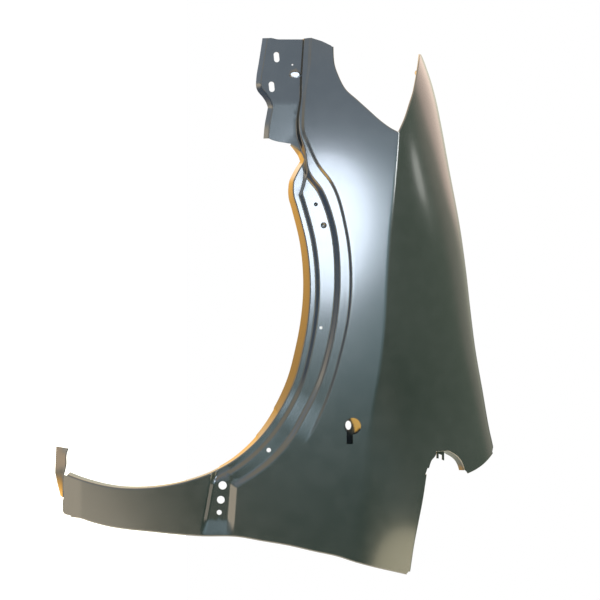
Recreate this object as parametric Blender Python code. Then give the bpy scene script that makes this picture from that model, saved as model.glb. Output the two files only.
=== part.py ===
# Left front fender of a small car: one pressed steel sheet with its flanges.
# Metres. +X runs rearward, +Y inboard, +Z up. The outer side faces -Y.
# Points are worked out from the wheel centre, and the finished sheet is moved
# so that the origin lies on the front mounting flange, between its two slots.

import math

import bmesh
import bpy
import numpy as np
from mathutils import Vector
from mathutils.geometry import delaunay_2d_cdt

# Overall sizes: how far the sheet reaches past the wheel arch, and its thickness
FRONT_REACH = 0.155
REAR_REACH = 0.155
TOP_REACH = 0.335
SHEET_THICKNESS = 0.0008

# Spacing of the mesh
STATION_STEP = 0.017
CORNER_STEP = 0.005
GRID_STEP = 0.023
LINE_CLEARANCE_SHARE = 0.62
HOLE_STEPS = 14
OVERRUN = 0.012

# Form of the outer side
FRONT_TUCK = 0.0556
TUCK_REACH = 0.490
TUCK_START = 0.050
TUCK_POWER = 2.5
CROWN_DROP = 0.0094
CROWN_REACH = 0.250
CROWN_HEIGHT = 0.186
SHOULDER_DEPTH = 0.127
SHOULDER_EDGE_SHARE = 0.985
SHOULDER_LINE_SHARES = (0.30, 0.55, 0.75, 0.88, 0.96)

# Wheel arch, from the wheel centre out
ARCH_RADIUS = 0.305
ARCH_LAND = 0.0075
CLIP_WALL_WIDTH = 0.0070
CLIP_WALL_DROP = 0.0040
BAND_REACH = 0.043
BAND_WALL_WIDTH = 0.0100
BAND_WALL_DROP = 0.0070
PAD_DROP = 0.0025
CLADDING_REACH = 0.066
CLADDING_STEP_WIDTH = 0.0040
CLADDING_STEP_DROP = 0.0025
ARCH_FLANGE_DEPTH = 0.026
FOLD_RADIUS = 0.0022
FOLD_ROW_SHARES = ((0.60, 0.35), (1.0, 1.0))

# Front mounting flange
BRACKET_DROP = 0.0120
BRACKET_WALL_WIDTH = 0.0050
RIDGE_WIDTH = 0.0085
LIP_DEPTH = 0.0075
LIP_SPLAY = 0.0100
SLOT_WIDTH = 0.0092
SLOT_LENGTH = 0.0185
PIN_HOLE_DIAMETER = 0.0030
BEAD_HEIGHT = 0.0030
BEAD_HALF_LENGTH = 0.0085
BEAD_HALF_WIDTH = 0.0055

# Rear leg with its three-hole pad and the sill flange
PAD_LEFT_RAMP = 0.0070
PAD_RIGHT_RAMP = 0.0110
PAD_FOOT_RAMP = 0.0240
PAD_HOLE_DIAMETERS = (0.0140, 0.0130, 0.0085)
SILL_FLANGE_DEPTH = 0.022
SILL_FLANGE_SPLAY = 0.017
SILL_TAB_LENGTH = 0.045
SILL_TAB_FLARE = 0.006
SILL_TAB_SHARES = ((0.35, 0.55), (0.80, 0.55), (1.0, 1.0))

# Edges
DOOR_FLANGE_DEPTH = 0.012
LAMP_FLANGE_DEPTH = 0.006
NOTCH_FLANGE_DEPTH = 0.016
NOTCH_FLANGE_SPLAY = 0.006
BONNET_WALL_DEPTH = 0.020
BONNET_LEDGE_WIDTH = 0.024
BONNET_HOLE_DIAMETER = 0.0085
CORNER_RELIEF = 0.006
FORK_TAB_LENGTH = 0.003
FORK_PRONG_LENGTH = 0.008
FORK_PRONG_WIDTH = 0.004
FORK_GAP = 0.006

# Holes in the side
REPEATER_DIAMETER = 0.028
REPEATER_SLOT_WIDTH = 0.0105
REPEATER_SLOT_REACH = 0.030
REPEATER_SLOT_SHIFT = -0.005
CLIP_HOLE_DIAMETERS = (0.0068, 0.0105, 0.0050, 0.0075)

# Angles are in degrees about the wheel centre, from straight up towards the rear
FOLD_SHARES = (
    (-44.6, 1.246), (-42.7, 1.258), (-41.2, 1.260), (-39.8, 1.252), (-38.5, 1.233),
    (-37.8, 1.190), (-37.1, 1.160), (-36.3, 1.130), (-35.0, 1.105), (-33.0, 1.081),
    (-29.7, 1.064), (-17.3, 1.026), (-3.2, 1.001), (6.6, 0.994),
    (16.5, 0.999), (26.4, 1.018), (36.3, 1.034), (47.3, 1.053), (60.6, 1.062),
    (71.9, 1.055), (86.3, 1.049), (94.5, 1.047), (103.6, 1.040), (112.0, 1.036),
)
ARCH_START_ANGLE = -44.6
ARCH_CORNER_ANGLE = -32.0
ARCH_END_ANGLE = 110.0
LINE_OVERRUN_ANGLE = 3.0
FLANGE_SPLAY_SHARES = (
    (-44.6, 0.0), (-42.7, 0.16), (-41.0, 0.22), (-36.0, 0.28), (-20.0, 0.36), (5.0, 0.44), (25.0, 0.46),
    (45.0, 0.30), (60.0, 0.16), (86.0, 0.12), (112.0, 0.16),
)
BAND_SHARES = (
    (-36.5, 0.52), (-29.8, 1.04), (-21.6, 1.12), (-5.8, 1.04), (3.0, 1.00), (14.4, 0.95),
    (24.0, 0.89), (33.7, 0.84), (41.3, 0.88), (49.0, 0.85), (59.3, 0.78), (75.0, 0.78),
)
CLADDING_SHARES = (
    (-36.4, 0.72), (-30.1, 1.06), (-18.9, 1.08), (-6.9, 1.055), (4.9, 1.015),
    (13.5, 0.965), (21.9, 0.94), (35.0, 0.97), (45.0, 1.02),
)
CLADDING_END_ANGLE = 40.0
CLADDING_FADE_ANGLE = 12.0
FLANGE_START_SHARES = ((-44.6, 0.35), (-43.2, 0.62), (-41.0, 1.0))
CLIP_MERGE_SHARES = ((-36.9, 0.95), (-34.6, 0.5), (-32.1, 0.0))
BRACKET_FULL_ANGLE = -46.0
BRACKET_NONE_ANGLE = -38.0
CLIP_HOLE_ANGLES = (-27.4, -21.2, 8.3, 47.3)
CLIP_HOLE_SHARES = (0.58, 0.66, 0.30, 0.46)

# Outline points as shares of the panel's length and height from the wheel centre.
# The arch ends at its own shares, and what lies beyond it follows the reaches.
ARCH_END_SHARES = (0.3315, 0.4013)
PANEL_END_SHARES = (0.5000, 0.8421)
BONNET_LINE_SHARES = (
    (-0.500, 0.664), (-0.4626, 0.6792), (-0.4277, 0.6920), (-0.3911, 0.7022),
    (-0.3507, 0.7109), (-0.2548, 0.7297), (-0.1365, 0.7542), (-0.0584, 0.7664),
    (0.0195, 0.7764), (0.0971, 0.7878), (0.1746, 0.8037), (0.2520, 0.8197),
    (0.2838, 0.8280), (0.3300, 0.8340), (0.5100, 0.8420),
)
BONNET_START_SHARE = -0.4560
BONNET_END_SHARE = 0.2838
CREASE_SHARES = (
    (-0.500, 0.6070), (-0.3721, 0.6013), (-0.3093, 0.5983), (-0.2063, 0.5868),
    (-0.1212, 0.5764), (-0.0300, 0.5690), (0.0550, 0.5628), (0.1466, 0.5493),
    (0.1980, 0.5383), (0.2748, 0.5271), (0.3297, 0.5226), (0.4540, 0.5004), (0.5100, 0.4910),
)
CREASE_SLOPE_SHARES = ((-0.50, 0.37), (0.15, 0.37), (0.33, 0.30), (0.45, 0.16), (0.52, 0.12))
SHOULDER_SHARES = ((-0.50, 1.10), (-0.27, 1.07), (0.0, 0.99), (0.28, 0.87), (0.52, 0.80))
LAMP_CURVE_SHARES = (
    (-0.4750, 0.4492), (-0.4550, 0.4497), (-0.4396, 0.4517), (-0.4190, 0.4597),
    (-0.3902, 0.4775), (-0.3712, 0.5021), (-0.3524, 0.5267), (-0.3336, 0.5513),
    (-0.3160, 0.5800), (-0.3093, 0.5955),
)
HORN_CURVE_SHARES = (
    (-0.3115, 0.6000), (-0.3399, 0.6153), (-0.3688, 0.6272), (-0.3917, 0.6366),
    (-0.4162, 0.6437), (-0.4470, 0.6515), (-0.4780, 0.6592),
)
HORN_TIP_SHARES = ((-0.4810, 0.6630), (-0.4700, 0.6728))
LOBE_SHARES = (
    (0.2928, 0.8243), (0.3000, 0.8149), (0.3126, 0.7943), (0.3220, 0.7700), (0.3251, 0.7586),
)
NOTCH_REAR_SHARES = ((0.3205, 0.7525), (0.3130, 0.7500), (0.2957, 0.7380), (0.2840, 0.7190))
NOTCH_FRONT_SHARES = ((0.2880, 0.6800), (0.2970, 0.6705), (0.3120, 0.6635))
FORK_CENTRE_SHARES = (0.2805, 0.6960)
PILLAR_SHARES = ((0.3240, 0.6580), (0.3717, 0.6486), (0.4086, 0.6393), (0.4453, 0.6301), (0.5010, 0.6193))
DOOR_LINE_SHARES = (
    (0.5042, 0.6150), (0.4759, 0.4916), (0.4684, 0.4649), (0.4570, 0.4051), (0.4465, 0.3513),
    (0.4374, 0.2879), (0.4310, 0.2450), (0.4292, 0.1551), (0.4224, 0.0549), (0.4111, -0.0563),
    (0.4040, -0.0900), (0.3985, -0.1110), (0.3965, -0.1330),
)
ARM_FOOT_SHARES = ((0.3935, -0.1480), (0.3890, -0.1520), (0.3680, -0.1520))
ARM_END_SHARES = ((0.3630, -0.1492), (0.3400, -0.1496), (0.3215, -0.1488))
SILL_SPLAY_SHARES = ((107.5, 0.20), (109.5, 0.60), (111.0, 1.0))
FRONT_EDGE_SHARES = (
    (-0.4770, 0.4470), (-0.4855, 0.4270), (-0.4930, 0.3990), (-0.4910, 0.3850), (-0.4910, 0.3250),
)
FRONT_CORNER_SHARES = ((-0.4940, 0.3110),)
LIP_LINE_SHARES = (
    (-0.4935, 0.3070), (-0.4720, 0.3035), (-0.4460, 0.2990), (-0.4130, 0.2935),
    (-0.4000, 0.2935), (-0.3860, 0.3060), (-0.3720, 0.3160), (-0.3600, 0.3200),
    (-0.3480, 0.3180), (-0.3270, 0.3135), (-0.3000, 0.3105),
)
BRACKET_FOOT_SHARES = ((-0.2975, 0.3120), (-0.2945, 0.3240))
VALLEY_SHARES = ((-0.5100, 0.3850), (-0.4825, 0.3836), (-0.4063, 0.3783), (-0.3745, 0.3775),
                 (-0.3412, 0.3715), (-0.3154, 0.3715), (-0.2770, 0.3835))
RIDGE_SHARES = ((-0.5100, 0.4030), (-0.4815, 0.4013), (-0.4402, 0.3996), (-0.3960, 0.3910),
                (-0.3520, 0.3864), (-0.3184, 0.3857), (-0.2887, 0.3975))
BRACKET_FOLD_SHARE = -0.3690
BRACKET_FOLD_SPAN_SHARES = (0.330, 0.368)
BRACKET_SLOPES = (-0.22, -0.12)
BRACKET_REFERENCE_SHARE = 0.380
SLOT_PLACE_SHARES = ((-0.4562, 0.3230), (-0.3985, 0.3122))
SLOT_LEAN = 0.10
PIN_HOLE_SHARES = (-0.4412, 0.3590)
BEAD_SHARES = (-0.4222, 0.3650)
SEAT_SHARES = (-0.4270, 0.3260)
PAD_LEFT_SHARES = ((0.3337, 0.1817), (0.4322, 0.1602))
PAD_RIGHT_SHARES = ((0.3150, 0.2316), (0.4311, 0.2214))
PAD_FOOT_SHARE = 0.4030
PAD_HOLE_SHARES = (0.17, 0.41, 0.62)
REPEATER_SHARES = (0.2310, 0.4930)
BONNET_HOLE_SHARES = (-0.400, -0.160, 0.060, 0.235)

SHARP_ANGLE = 12.0
CUTTER_HEIGHT = 0.012
CUTTER_SIDES = 20
PANEL_COLOUR = (0.012, 0.014, 0.016, 1.0)
PANEL_ROUGHNESS = 0.32
PANEL_METALLIC = 0.0


def clear_scene():
    for item in list(bpy.data.objects):
        bpy.data.objects.remove(item, do_unlink=True)


def smooth_table(rows):
    """A smooth function through the rows (place, value), flat beyond its ends."""
    places = np.array([row[0] for row in rows])
    values = np.array([row[1] for row in rows])
    slopes = np.gradient(values, places)

    def value(place):
        place = min(max(place, places[0]), places[-1])
        index = int(np.searchsorted(places, place, side="right")) - 1
        index = min(max(index, 0), len(places) - 2)
        span = places[index + 1] - places[index]
        t = (place - places[index]) / span
        rise = (2 * t ** 3 - 3 * t ** 2 + 1) * values[index]
        rise += (t ** 3 - 2 * t ** 2 + t) * span * slopes[index]
        rise += (3 * t ** 2 - 2 * t ** 3) * values[index + 1]
        rise += (t ** 3 - t ** 2) * span * slopes[index + 1]
        return rise

    return value


def smooth_step(value):
    value = min(max(value, 0.0), 1.0)
    return value * value * (3 - 2 * value)


def ramp(value):
    return min(max(value, 0.0), 1.0)


def beyond_arch(share, axis, reach):
    """The distance that a share stands for: first the arch, then the reach past it."""
    near, end = ARCH_END_SHARES[axis], PANEL_END_SHARES[axis]
    distance = min(abs(share) / near, 1.0) * ARCH_RADIUS
    distance += max(abs(share) - near, 0.0) / (end - near) * reach
    return math.copysign(distance, share)


def along(share):
    """The place along the car of a share of the panel's length."""
    return beyond_arch(share, 0, FRONT_REACH if share < 0 else REAR_REACH)


def up(share):
    """The place above the wheel centre of a share of the panel's height."""
    return beyond_arch(share, 1, TOP_REACH)


def scaled(shares):
    return [(along(x), up(z)) for x, z in shares]


def polar(point):
    return math.degrees(math.atan2(point[0], point[1])), math.hypot(point[0], point[1])


def on_ray(angle, radius):
    turn = math.radians(angle)
    return radius * math.sin(turn), radius * math.cos(turn)


bonnet_height = smooth_table(scaled(BONNET_LINE_SHARES))
crease_height = smooth_table(scaled(CREASE_SHARES))
crease_slope = smooth_table([(along(x), share) for x, share in CREASE_SLOPE_SHARES])
shoulder_share = smooth_table([(along(x), share) for x, share in SHOULDER_SHARES])
fold_share = smooth_table(FOLD_SHARES)
splay_share = smooth_table(FLANGE_SPLAY_SHARES)
sill_splay_share = smooth_table(SILL_SPLAY_SHARES)
flange_start = smooth_table(FLANGE_START_SHARES)
clip_merge = smooth_table(CLIP_MERGE_SHARES)


def fold_radius(angle):
    return ARCH_RADIUS * fold_share(angle)


def joined_line(bracket_shares, reach, arch_shares):
    """Radius by angle of a pressed line that runs down the bracket and round the arch."""
    rows = [polar(point) for point in scaled(bracket_shares)]
    rows += [(angle, fold_radius(angle) + reach * share) for angle, share in arch_shares]
    return smooth_table(rows)


band_radius = joined_line(VALLEY_SHARES, BAND_REACH, BAND_SHARES)
cladding_radius = joined_line(RIDGE_SHARES, CLADDING_REACH, CLADDING_SHARES)


def clip_radius(angle):
    """Middle of the wall between the clip band and the narrow land at the fold."""
    low = fold_radius(angle) + ARCH_LAND + CLIP_WALL_WIDTH / 2
    return low + (band_radius(angle) - low) * clip_merge(angle)


def bracket_part(angle):
    return 1 - smooth_step((angle - BRACKET_FULL_ANGLE) / (BRACKET_NONE_ANGLE - BRACKET_FULL_ANGLE))


def band_wall_width(angle):
    return BAND_WALL_WIDTH + (BRACKET_WALL_WIDTH - BAND_WALL_WIDTH) * bracket_part(angle)


def cladding_step_width(angle):
    return CLADDING_STEP_WIDTH + (RIDGE_WIDTH - CLADDING_STEP_WIDTH) * bracket_part(angle)


def skin(x, z):
    """Depth of the smooth outer form, before any step is pressed into it."""
    tuck = FRONT_TUCK * max((TUCK_START - x) / TUCK_REACH, 0.0) ** TUCK_POWER
    crown = CROWN_DROP * ((z - CROWN_HEIGHT) / CROWN_REACH) ** 2
    crease = crease_height(x)
    share = SHOULDER_EDGE_SHARE * (z - crease) / (bonnet_height(x) - crease)
    share = min(max(share, 0.0), SHOULDER_EDGE_SHARE)
    slope = crease_slope(x)
    roll = slope * share + (1 - slope) * (1 - math.sqrt(1 - share * share))
    return tuck + crown + SHOULDER_DEPTH * shoulder_share(x) * roll


def bracket_plate(x):
    fold = along(BRACKET_FOLD_SHARE)
    level = skin(fold, up(BRACKET_REFERENCE_SHARE)) + BRACKET_DROP
    slope = BRACKET_SLOPES[0] if x < fold else BRACKET_SLOPES[1]
    return level + slope * (x - fold)


def line_height(shares, x):
    (x_0, z_0), (x_1, z_1) = scaled(shares)
    return z_0 + (z_1 - z_0) * (x - x_0) / (x_1 - x_0)


def pad_left(x):
    return line_height(PAD_LEFT_SHARES, x)


def pad_right(x):
    return line_height(PAD_RIGHT_SHARES, x)


def pad_centre():
    x = along((PAD_LEFT_SHARES[0][0] + PAD_FOOT_SHARE) / 2)
    return x, (pad_left(x) + pad_right(x)) / 2


def pad_end():
    """Where the door edge crosses the pad."""
    door = sorted((z, x) for x, z in scaled(DOOR_LINE_SHARES))
    return float(np.interp(pad_centre()[1], [z for z, x in door], [x for z, x in door]))


def pad_floor(x, z):
    """The flat floor of the pad, a little below the band's level at the pad's middle."""
    x_0, z_0 = pad_centre()
    step = PAD_LEFT_RAMP
    slope_x = (skin(x_0 + step, z_0) - skin(x_0 - step, z_0)) / (2 * step)
    slope_z = (skin(x_0, z_0 + step) - skin(x_0, z_0 - step)) / (2 * step)
    level = skin(x_0, z_0) + BAND_WALL_DROP + PAD_DROP
    return level + slope_x * (x - x_0) + slope_z * (z - z_0)


def bead(x, z):
    x_0, z_0 = scaled([BEAD_SHARES])[0]
    distance = math.hypot((x - x_0) / BEAD_HALF_WIDTH, (z - z_0) / BEAD_HALF_LENGTH)
    return BEAD_HEIGHT * smooth_step(2 - 2 * distance)


def pressed(x, z):
    """Depth of the finished pressing at a place of the side."""
    angle, radius = polar((x, z))
    bracket = bracket_part(angle)
    fade = smooth_step((CLADDING_END_ANGLE - angle) / CLADDING_FADE_ANGLE)
    step = CLADDING_STEP_DROP * fade
    base = skin(x, z)
    upper = base + step * ramp((cladding_radius(angle) - radius) / cladding_step_width(angle))

    right_of_pad = ramp((z - pad_left(x)) / PAD_LEFT_RAMP + 0.5)
    left_of_ramp = ramp((pad_right(x) - z) / PAD_RIGHT_RAMP + 0.5)
    foot = along(PAD_FOOT_SHARE)
    pad = right_of_pad * left_of_ramp
    lower = (1 - bracket) * (base + step + BAND_WALL_DROP) + bracket * bracket_plate(x)
    if x > 0:
        lower += (pad_floor(x, z) - lower) * pad

    inside = ramp((band_radius(angle) - radius) / band_wall_width(angle) + 0.5)
    if x > 0:
        inside = max(inside * right_of_pad, pad * ramp(1 - (x - foot) / PAD_FOOT_RAMP))
    depth = upper + (lower - upper) * inside
    clip = ramp((clip_radius(angle) - radius) / CLIP_WALL_WIDTH + 0.5)
    if x > 0:
        clip *= right_of_pad
    return depth + CLIP_WALL_DROP * (1 - bracket) * clip - bead(x, z)


def curve_through(points, step=STATION_STEP):
    """Points along a smooth curve through the given points, no further apart than step."""
    points = np.array(points)
    places = np.concatenate(([0.0], np.cumsum(np.hypot(*np.diff(points, axis=0).T))))
    along_x = smooth_table(list(zip(places, points[:, 0])))
    along_z = smooth_table(list(zip(places, points[:, 1])))
    count = max(int(math.ceil(places[-1] / step)), len(points) - 1)
    return [(along_x(place), along_z(place)) for place in np.linspace(0.0, places[-1], count + 1)]


def straight_through(points, step=STATION_STEP):
    result = [points[0]]
    for start, end in zip(points, points[1:]):
        count = max(int(math.ceil(math.dist(start, end) / step)), 1)
        for index in range(1, count + 1):
            share = index / count
            result.append((start[0] + (end[0] - start[0]) * share, start[1] + (end[1] - start[1]) * share))
    return result


def arch_points(radius, start, end, step=STATION_STEP):
    """Points at even spacing of angle along a line round the arch."""
    count = int(math.ceil(math.radians(end - start) * ARCH_RADIUS / step))
    return [on_ray(angle, radius(angle)) for angle in np.linspace(start, end, count + 1)]


def bonnet_points():
    start, end = along(BONNET_START_SHARE), along(BONNET_END_SHARE)
    count = int(math.ceil((end - start) / STATION_STEP))
    return [(x, bonnet_height(x)) for x in np.linspace(end, start, count + 1)]


def fork_points():
    """The four corners of the two prongs along the notch edge, from low to high."""
    x, z = scaled([FORK_CENTRE_SHARES])[0]
    near, far = FORK_GAP / 2, FORK_GAP / 2 + FORK_PRONG_WIDTH
    return [(x, z + shift) for shift in (-far, -near, near, far)]


def notch_points():
    """The notch edge from the pillar to the lobe, straight where it carries the fork tab."""
    fork = fork_points()
    start = (fork[0][0], fork[0][1] - FORK_PRONG_WIDTH)
    end = (fork[-1][0], fork[-1][1] + FORK_PRONG_WIDTH)
    low = curve_through(scaled(NOTCH_FRONT_SHARES)[::-1] + [start], CORNER_RELIEF)
    high = curve_through([end] + scaled(NOTCH_REAR_SHARES)[::-1], CORNER_RELIEF)
    return low + fork + high


def outline_runs():
    """The edge of the side as named runs in order, each starting where the last one ends."""
    arch = arch_points(fold_radius, ARCH_START_ANGLE, ARCH_CORNER_ANGLE, CORNER_STEP)[:-1]
    arch += arch_points(fold_radius, ARCH_CORNER_ANGLE, ARCH_END_ANGLE)
    foot = scaled(ARM_END_SHARES)[:1] + scaled(ARM_FOOT_SHARES)[::-1] + scaled(DOOR_LINE_SHARES)[-1:]
    runs = [
        ("arch", arch),
        ("plain", [arch[-1], scaled(ARM_END_SHARES)[-1]]),
        ("sill", curve_through(scaled(ARM_END_SHARES)[::-1])),
        ("plain", foot),
        ("door", curve_through(scaled(DOOR_LINE_SHARES)[::-1])),
        ("plain", [scaled(DOOR_LINE_SHARES)[0], scaled(PILLAR_SHARES)[-1]]),
        ("pillar", curve_through(scaled(PILLAR_SHARES)[::-1])),
        ("plain", [scaled(PILLAR_SHARES)[0], scaled(NOTCH_FRONT_SHARES)[-1]]),
        ("notch", notch_points()),
        ("plain", [scaled(NOTCH_REAR_SHARES)[0], scaled(LOBE_SHARES)[-1]]),
        ("lobe", curve_through(scaled(LOBE_SHARES)[::-1], CORNER_RELIEF * 2)),
        ("plain", [scaled(LOBE_SHARES)[0], bonnet_points()[0]]),
        ("bonnet", bonnet_points()),
        ("plain", [bonnet_points()[-1]] + scaled(HORN_TIP_SHARES)[::-1] + scaled(HORN_CURVE_SHARES)[-1:]),
        ("lamp", curve_through(scaled(HORN_CURVE_SHARES)[::-1])),
        ("plain", [scaled(HORN_CURVE_SHARES)[0], scaled(LAMP_CURVE_SHARES)[-1]]),
        ("lamp", curve_through(scaled(LAMP_CURVE_SHARES)[::-1])),
        ("plain", [scaled(LAMP_CURVE_SHARES)[0]] + straight_through(scaled(FRONT_EDGE_SHARES))
         + scaled(FRONT_CORNER_SHARES) + scaled(LIP_LINE_SHARES)[:1]),
        ("lip", curve_through(scaled(LIP_LINE_SHARES))),
        ("plain", scaled(LIP_LINE_SHARES)[-1:] + scaled(BRACKET_FOOT_SHARES) + arch[:1]),
    ]
    return runs


def pressed_lines():
    """Lines along which the sheet bends, each a list of points, which may run past the edge."""
    start = polar(scaled(VALLEY_SHARES)[0])[0]
    pad_angle = polar(scaled(PAD_RIGHT_SHARES)[0])[0]
    lines = []
    for side in (-0.5, 0.5):
        lines.append(arch_points(lambda a: band_radius(a) + side * band_wall_width(a), start, pad_angle))
        lines.append(arch_points(lambda a: clip_radius(a) + side * CLIP_WALL_WIDTH,
                                 CLIP_MERGE_SHARES[0][0], ARCH_END_ANGLE + LINE_OVERRUN_ANGLE))
    start = polar(scaled(RIDGE_SHARES)[0])[0]
    for side in (0, -1):
        lines.append(arch_points(lambda a: cladding_radius(a) + side * cladding_step_width(a),
                                 start, CLADDING_END_ANGLE))
    edge = pad_end() + OVERRUN
    near = on_ray(polar(pad_centre())[0], fold_radius(polar(pad_centre())[0]))[0] - OVERRUN
    for side in (-0.5, 0.5):
        shift = side * PAD_LEFT_RAMP
        lines.append(straight_through([(near, pad_left(near) + shift), (edge, pad_left(edge) + shift)]))
        shift = side * PAD_RIGHT_RAMP
        lines.append(straight_through([(near, pad_right(near) + shift), (edge, pad_right(edge) + shift)]))
    foot = along(PAD_FOOT_SHARE)
    lines.append([(foot, pad_left(foot) + PAD_LEFT_RAMP / 2), (foot, pad_right(foot) - PAD_RIGHT_RAMP / 2)])
    fold = along(BRACKET_FOLD_SHARE)
    lines.append(straight_through([(fold, up(share)) for share in BRACKET_FOLD_SPAN_SHARES]))
    return lines


def shoulder_lines():
    """The crease and lines between it and the bonnet line, closer where the roll tightens."""
    start, end = along(BONNET_LINE_SHARES[0][0]), along(DOOR_LINE_SHARES[0][0])
    count = int(math.ceil((end - start) / STATION_STEP))
    lines = []
    for share in (0.0,) + SHOULDER_LINE_SHARES:
        line = []
        for x in np.linspace(start, end, count + 1):
            crease = crease_height(x)
            line.append((x, crease + share * (bonnet_height(x) - crease)))
        lines.append(line)
    return lines


def ring(centre, diameter, steps=HOLE_STEPS):
    turns = [2 * math.pi * index / steps for index in range(steps)]
    return [(centre[0] + diameter / 2 * math.cos(turn), centre[1] + diameter / 2 * math.sin(turn))
            for turn in turns]


def slot(centre, width, length, lean):
    """A slot with round ends that runs along X, leaning towards Z."""
    half = (length - width) / 2
    points = []
    for end in (1, -1):
        for index in range(HOLE_STEPS // 2 + 1):
            turn = math.pi * (index / (HOLE_STEPS // 2) - 0.5) + (0 if end > 0 else math.pi)
            points.append((end * half + width / 2 * math.cos(turn), width / 2 * math.sin(turn)))
    return [(centre[0] + x - lean * z, centre[1] + z + lean * x) for x, z in points]


def keyhole():
    """The repeater lamp's hole: round, with a slot towards the rear."""
    x_0, z_0 = scaled([REPEATER_SHARES])[0]
    radius = REPEATER_DIAMETER / 2
    sides = (REPEATER_SLOT_SHIFT + REPEATER_SLOT_WIDTH / 2, REPEATER_SLOT_SHIFT - REPEATER_SLOT_WIDTH / 2)
    first, last = (math.asin(side / radius) for side in sides)
    sweep = 2 * math.pi + last - first
    points = []
    for index in range(2 * HOLE_STEPS + 1):
        turn = first + sweep * index / (2 * HOLE_STEPS)
        points.append((x_0 + radius * math.cos(turn), z_0 + radius * math.sin(turn)))
    points.append((x_0 + REPEATER_SLOT_REACH, z_0 + sides[1]))
    points.append((x_0 + REPEATER_SLOT_REACH, z_0 + sides[0]))
    return points


def pad_hole_places():
    """The pad's holes lie along its middle, between the arch fold and the door edge."""
    angle = polar(pad_centre())[0]
    near = fold_radius(angle) * math.sin(math.radians(angle))
    far = pad_end()
    places = []
    for share in PAD_HOLE_SHARES:
        x = near + (far - near) * share
        places.append((x, (pad_left(x) + pad_right(x)) / 2))
    return places


def hole_loops():
    loops = [keyhole()]
    for place in scaled(SLOT_PLACE_SHARES):
        loops.append(slot(place, SLOT_WIDTH, SLOT_LENGTH, SLOT_LEAN))
    loops.append(ring(scaled([PIN_HOLE_SHARES])[0], PIN_HOLE_DIAMETER, HOLE_STEPS // 2))
    for place, diameter in zip(pad_hole_places(), PAD_HOLE_DIAMETERS):
        loops.append(ring(place, diameter))
    for angle, share, diameter in zip(CLIP_HOLE_ANGLES, CLIP_HOLE_SHARES, CLIP_HOLE_DIAMETERS):
        low = clip_radius(angle) + CLIP_WALL_WIDTH / 2
        high = band_radius(angle) - band_wall_width(angle) / 2
        loops.append(ring(on_ray(angle, low + (high - low) * share), diameter))
    return loops


def inside(point, polygon):
    x, z = point
    result = False
    for (x_0, z_0), (x_1, z_1) in zip(polygon, polygon[1:] + polygon[:1]):
        if (z_0 > z) != (z_1 > z) and x < (x_1 - x_0) * (z - z_0) / (z_1 - z_0) + x_0:
            result = not result
    return result


def grid_points(outline, taken):
    """Points that fill the side between its lines, in staggered rows."""
    taken = np.array(taken)
    low, high = np.array(outline).min(axis=0), np.array(outline).max(axis=0)
    rise = GRID_STEP * math.sqrt(3) / 2
    points = []
    for row in range(int((high[1] - low[1]) / rise) + 1):
        for column in range(int((high[0] - low[0]) / GRID_STEP) + 1):
            point = (low[0] + (column + 0.5 * (row % 2)) * GRID_STEP, low[1] + row * rise)
            gap = np.hypot(taken[:, 0] - point[0], taken[:, 1] - point[1]).min()
            if gap > LINE_CLEARANCE_SHARE * GRID_STEP and inside(point, outline):
                points.append(point)
    return points


def flat_blank():
    """The side as triangles in the plane, with the run that each edge belongs to."""
    points, edges, names = [], [], []
    for name, run in outline_runs():
        for point in run[:-1]:
            points.append(point)
            names.append(name)
    outline = list(points)
    edges = [(index, (index + 1) % len(points)) for index in range(len(points))]
    holes = hole_loops()
    for loop in holes:
        first = len(points)
        points += loop
        edges += [(first + index, first + (index + 1) % len(loop)) for index in range(len(loop))]
    for line in pressed_lines() + shoulder_lines():
        first = len(points)
        points += line
        edges += [(first + index, first + index + 1) for index in range(len(line) - 1)]
    points += grid_points(outline, points)
    verts, cdt_edges, faces, _, edge_sources, _ = delaunay_2d_cdt(points, edges, [], 0, SHEET_THICKNESS / 40)
    kept = []
    for face in faces:
        centre = tuple(sum(verts[index][axis] for index in face) / len(face) for axis in (0, 1))
        if inside(centre, outline) and not any(inside(centre, loop) for loop in holes):
            kept.append(face)
    runs = {}
    for edge, sources in zip(cdt_edges, edge_sources):
        for source in sources:
            if source < len(names):
                runs[frozenset(edge)] = names[source]
    return verts, kept, runs


def chains(mesh, runs, name):
    """The open edges of one run as ordered corner points, with the side on their left."""
    onward = {}
    for edge in mesh.edges:
        if edge.is_boundary and runs.get(frozenset(corner.index for corner in edge.verts)) == name:
            loop = edge.link_loops[0]
            onward[loop.vert] = loop.link_loop_next.vert
    starts = [corner for corner in onward if corner not in onward.values()]
    result = []
    for start in sorted(starts, key=lambda corner: corner.index):
        chain = [start]
        while chain[-1] in onward:
            chain.append(onward[chain[-1]])
        result.append(chain)
    return result


def outward_normals(chain):
    """Directions in the X-Z plane that point out of the side, to the right of the chain."""
    spots = np.array([(corner.co.x, corner.co.z) for corner in chain])
    legs = np.diff(spots, axis=0)
    legs /= np.linalg.norm(legs, axis=1)[:, None]
    run = np.vstack([legs[:1], legs[1:] + legs[:-1], legs[-1:]])
    run /= np.linalg.norm(run, axis=1)[:, None]
    return np.stack([run[:, 1], -run[:, 0]], axis=1)


def add_face(mesh, corners):
    face = mesh.faces.new(corners)
    face.smooth = True
    return face


def turn_flange(mesh, chain, profiles):
    """Rows of faces from an open edge; a profile lists one corner point's shifts row by row."""
    rows = [chain]
    for row in range(len(profiles[0])):
        before = rows[-1]
        after = [mesh.verts.new(corner.co + profile[row]) for corner, profile in zip(chain, profiles)]
        for index in range(len(chain) - 1):
            add_face(mesh, [before[index + 1], before[index], after[index], after[index + 1]])
        rows.append(after)
    return rows


def fold_rows():
    """The tight fold at the root of a flange: how far out of the edge, and how far inboard."""
    return [(FOLD_RADIUS * away, FOLD_RADIUS * inboard) for away, inboard in FOLD_ROW_SHARES]


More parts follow.
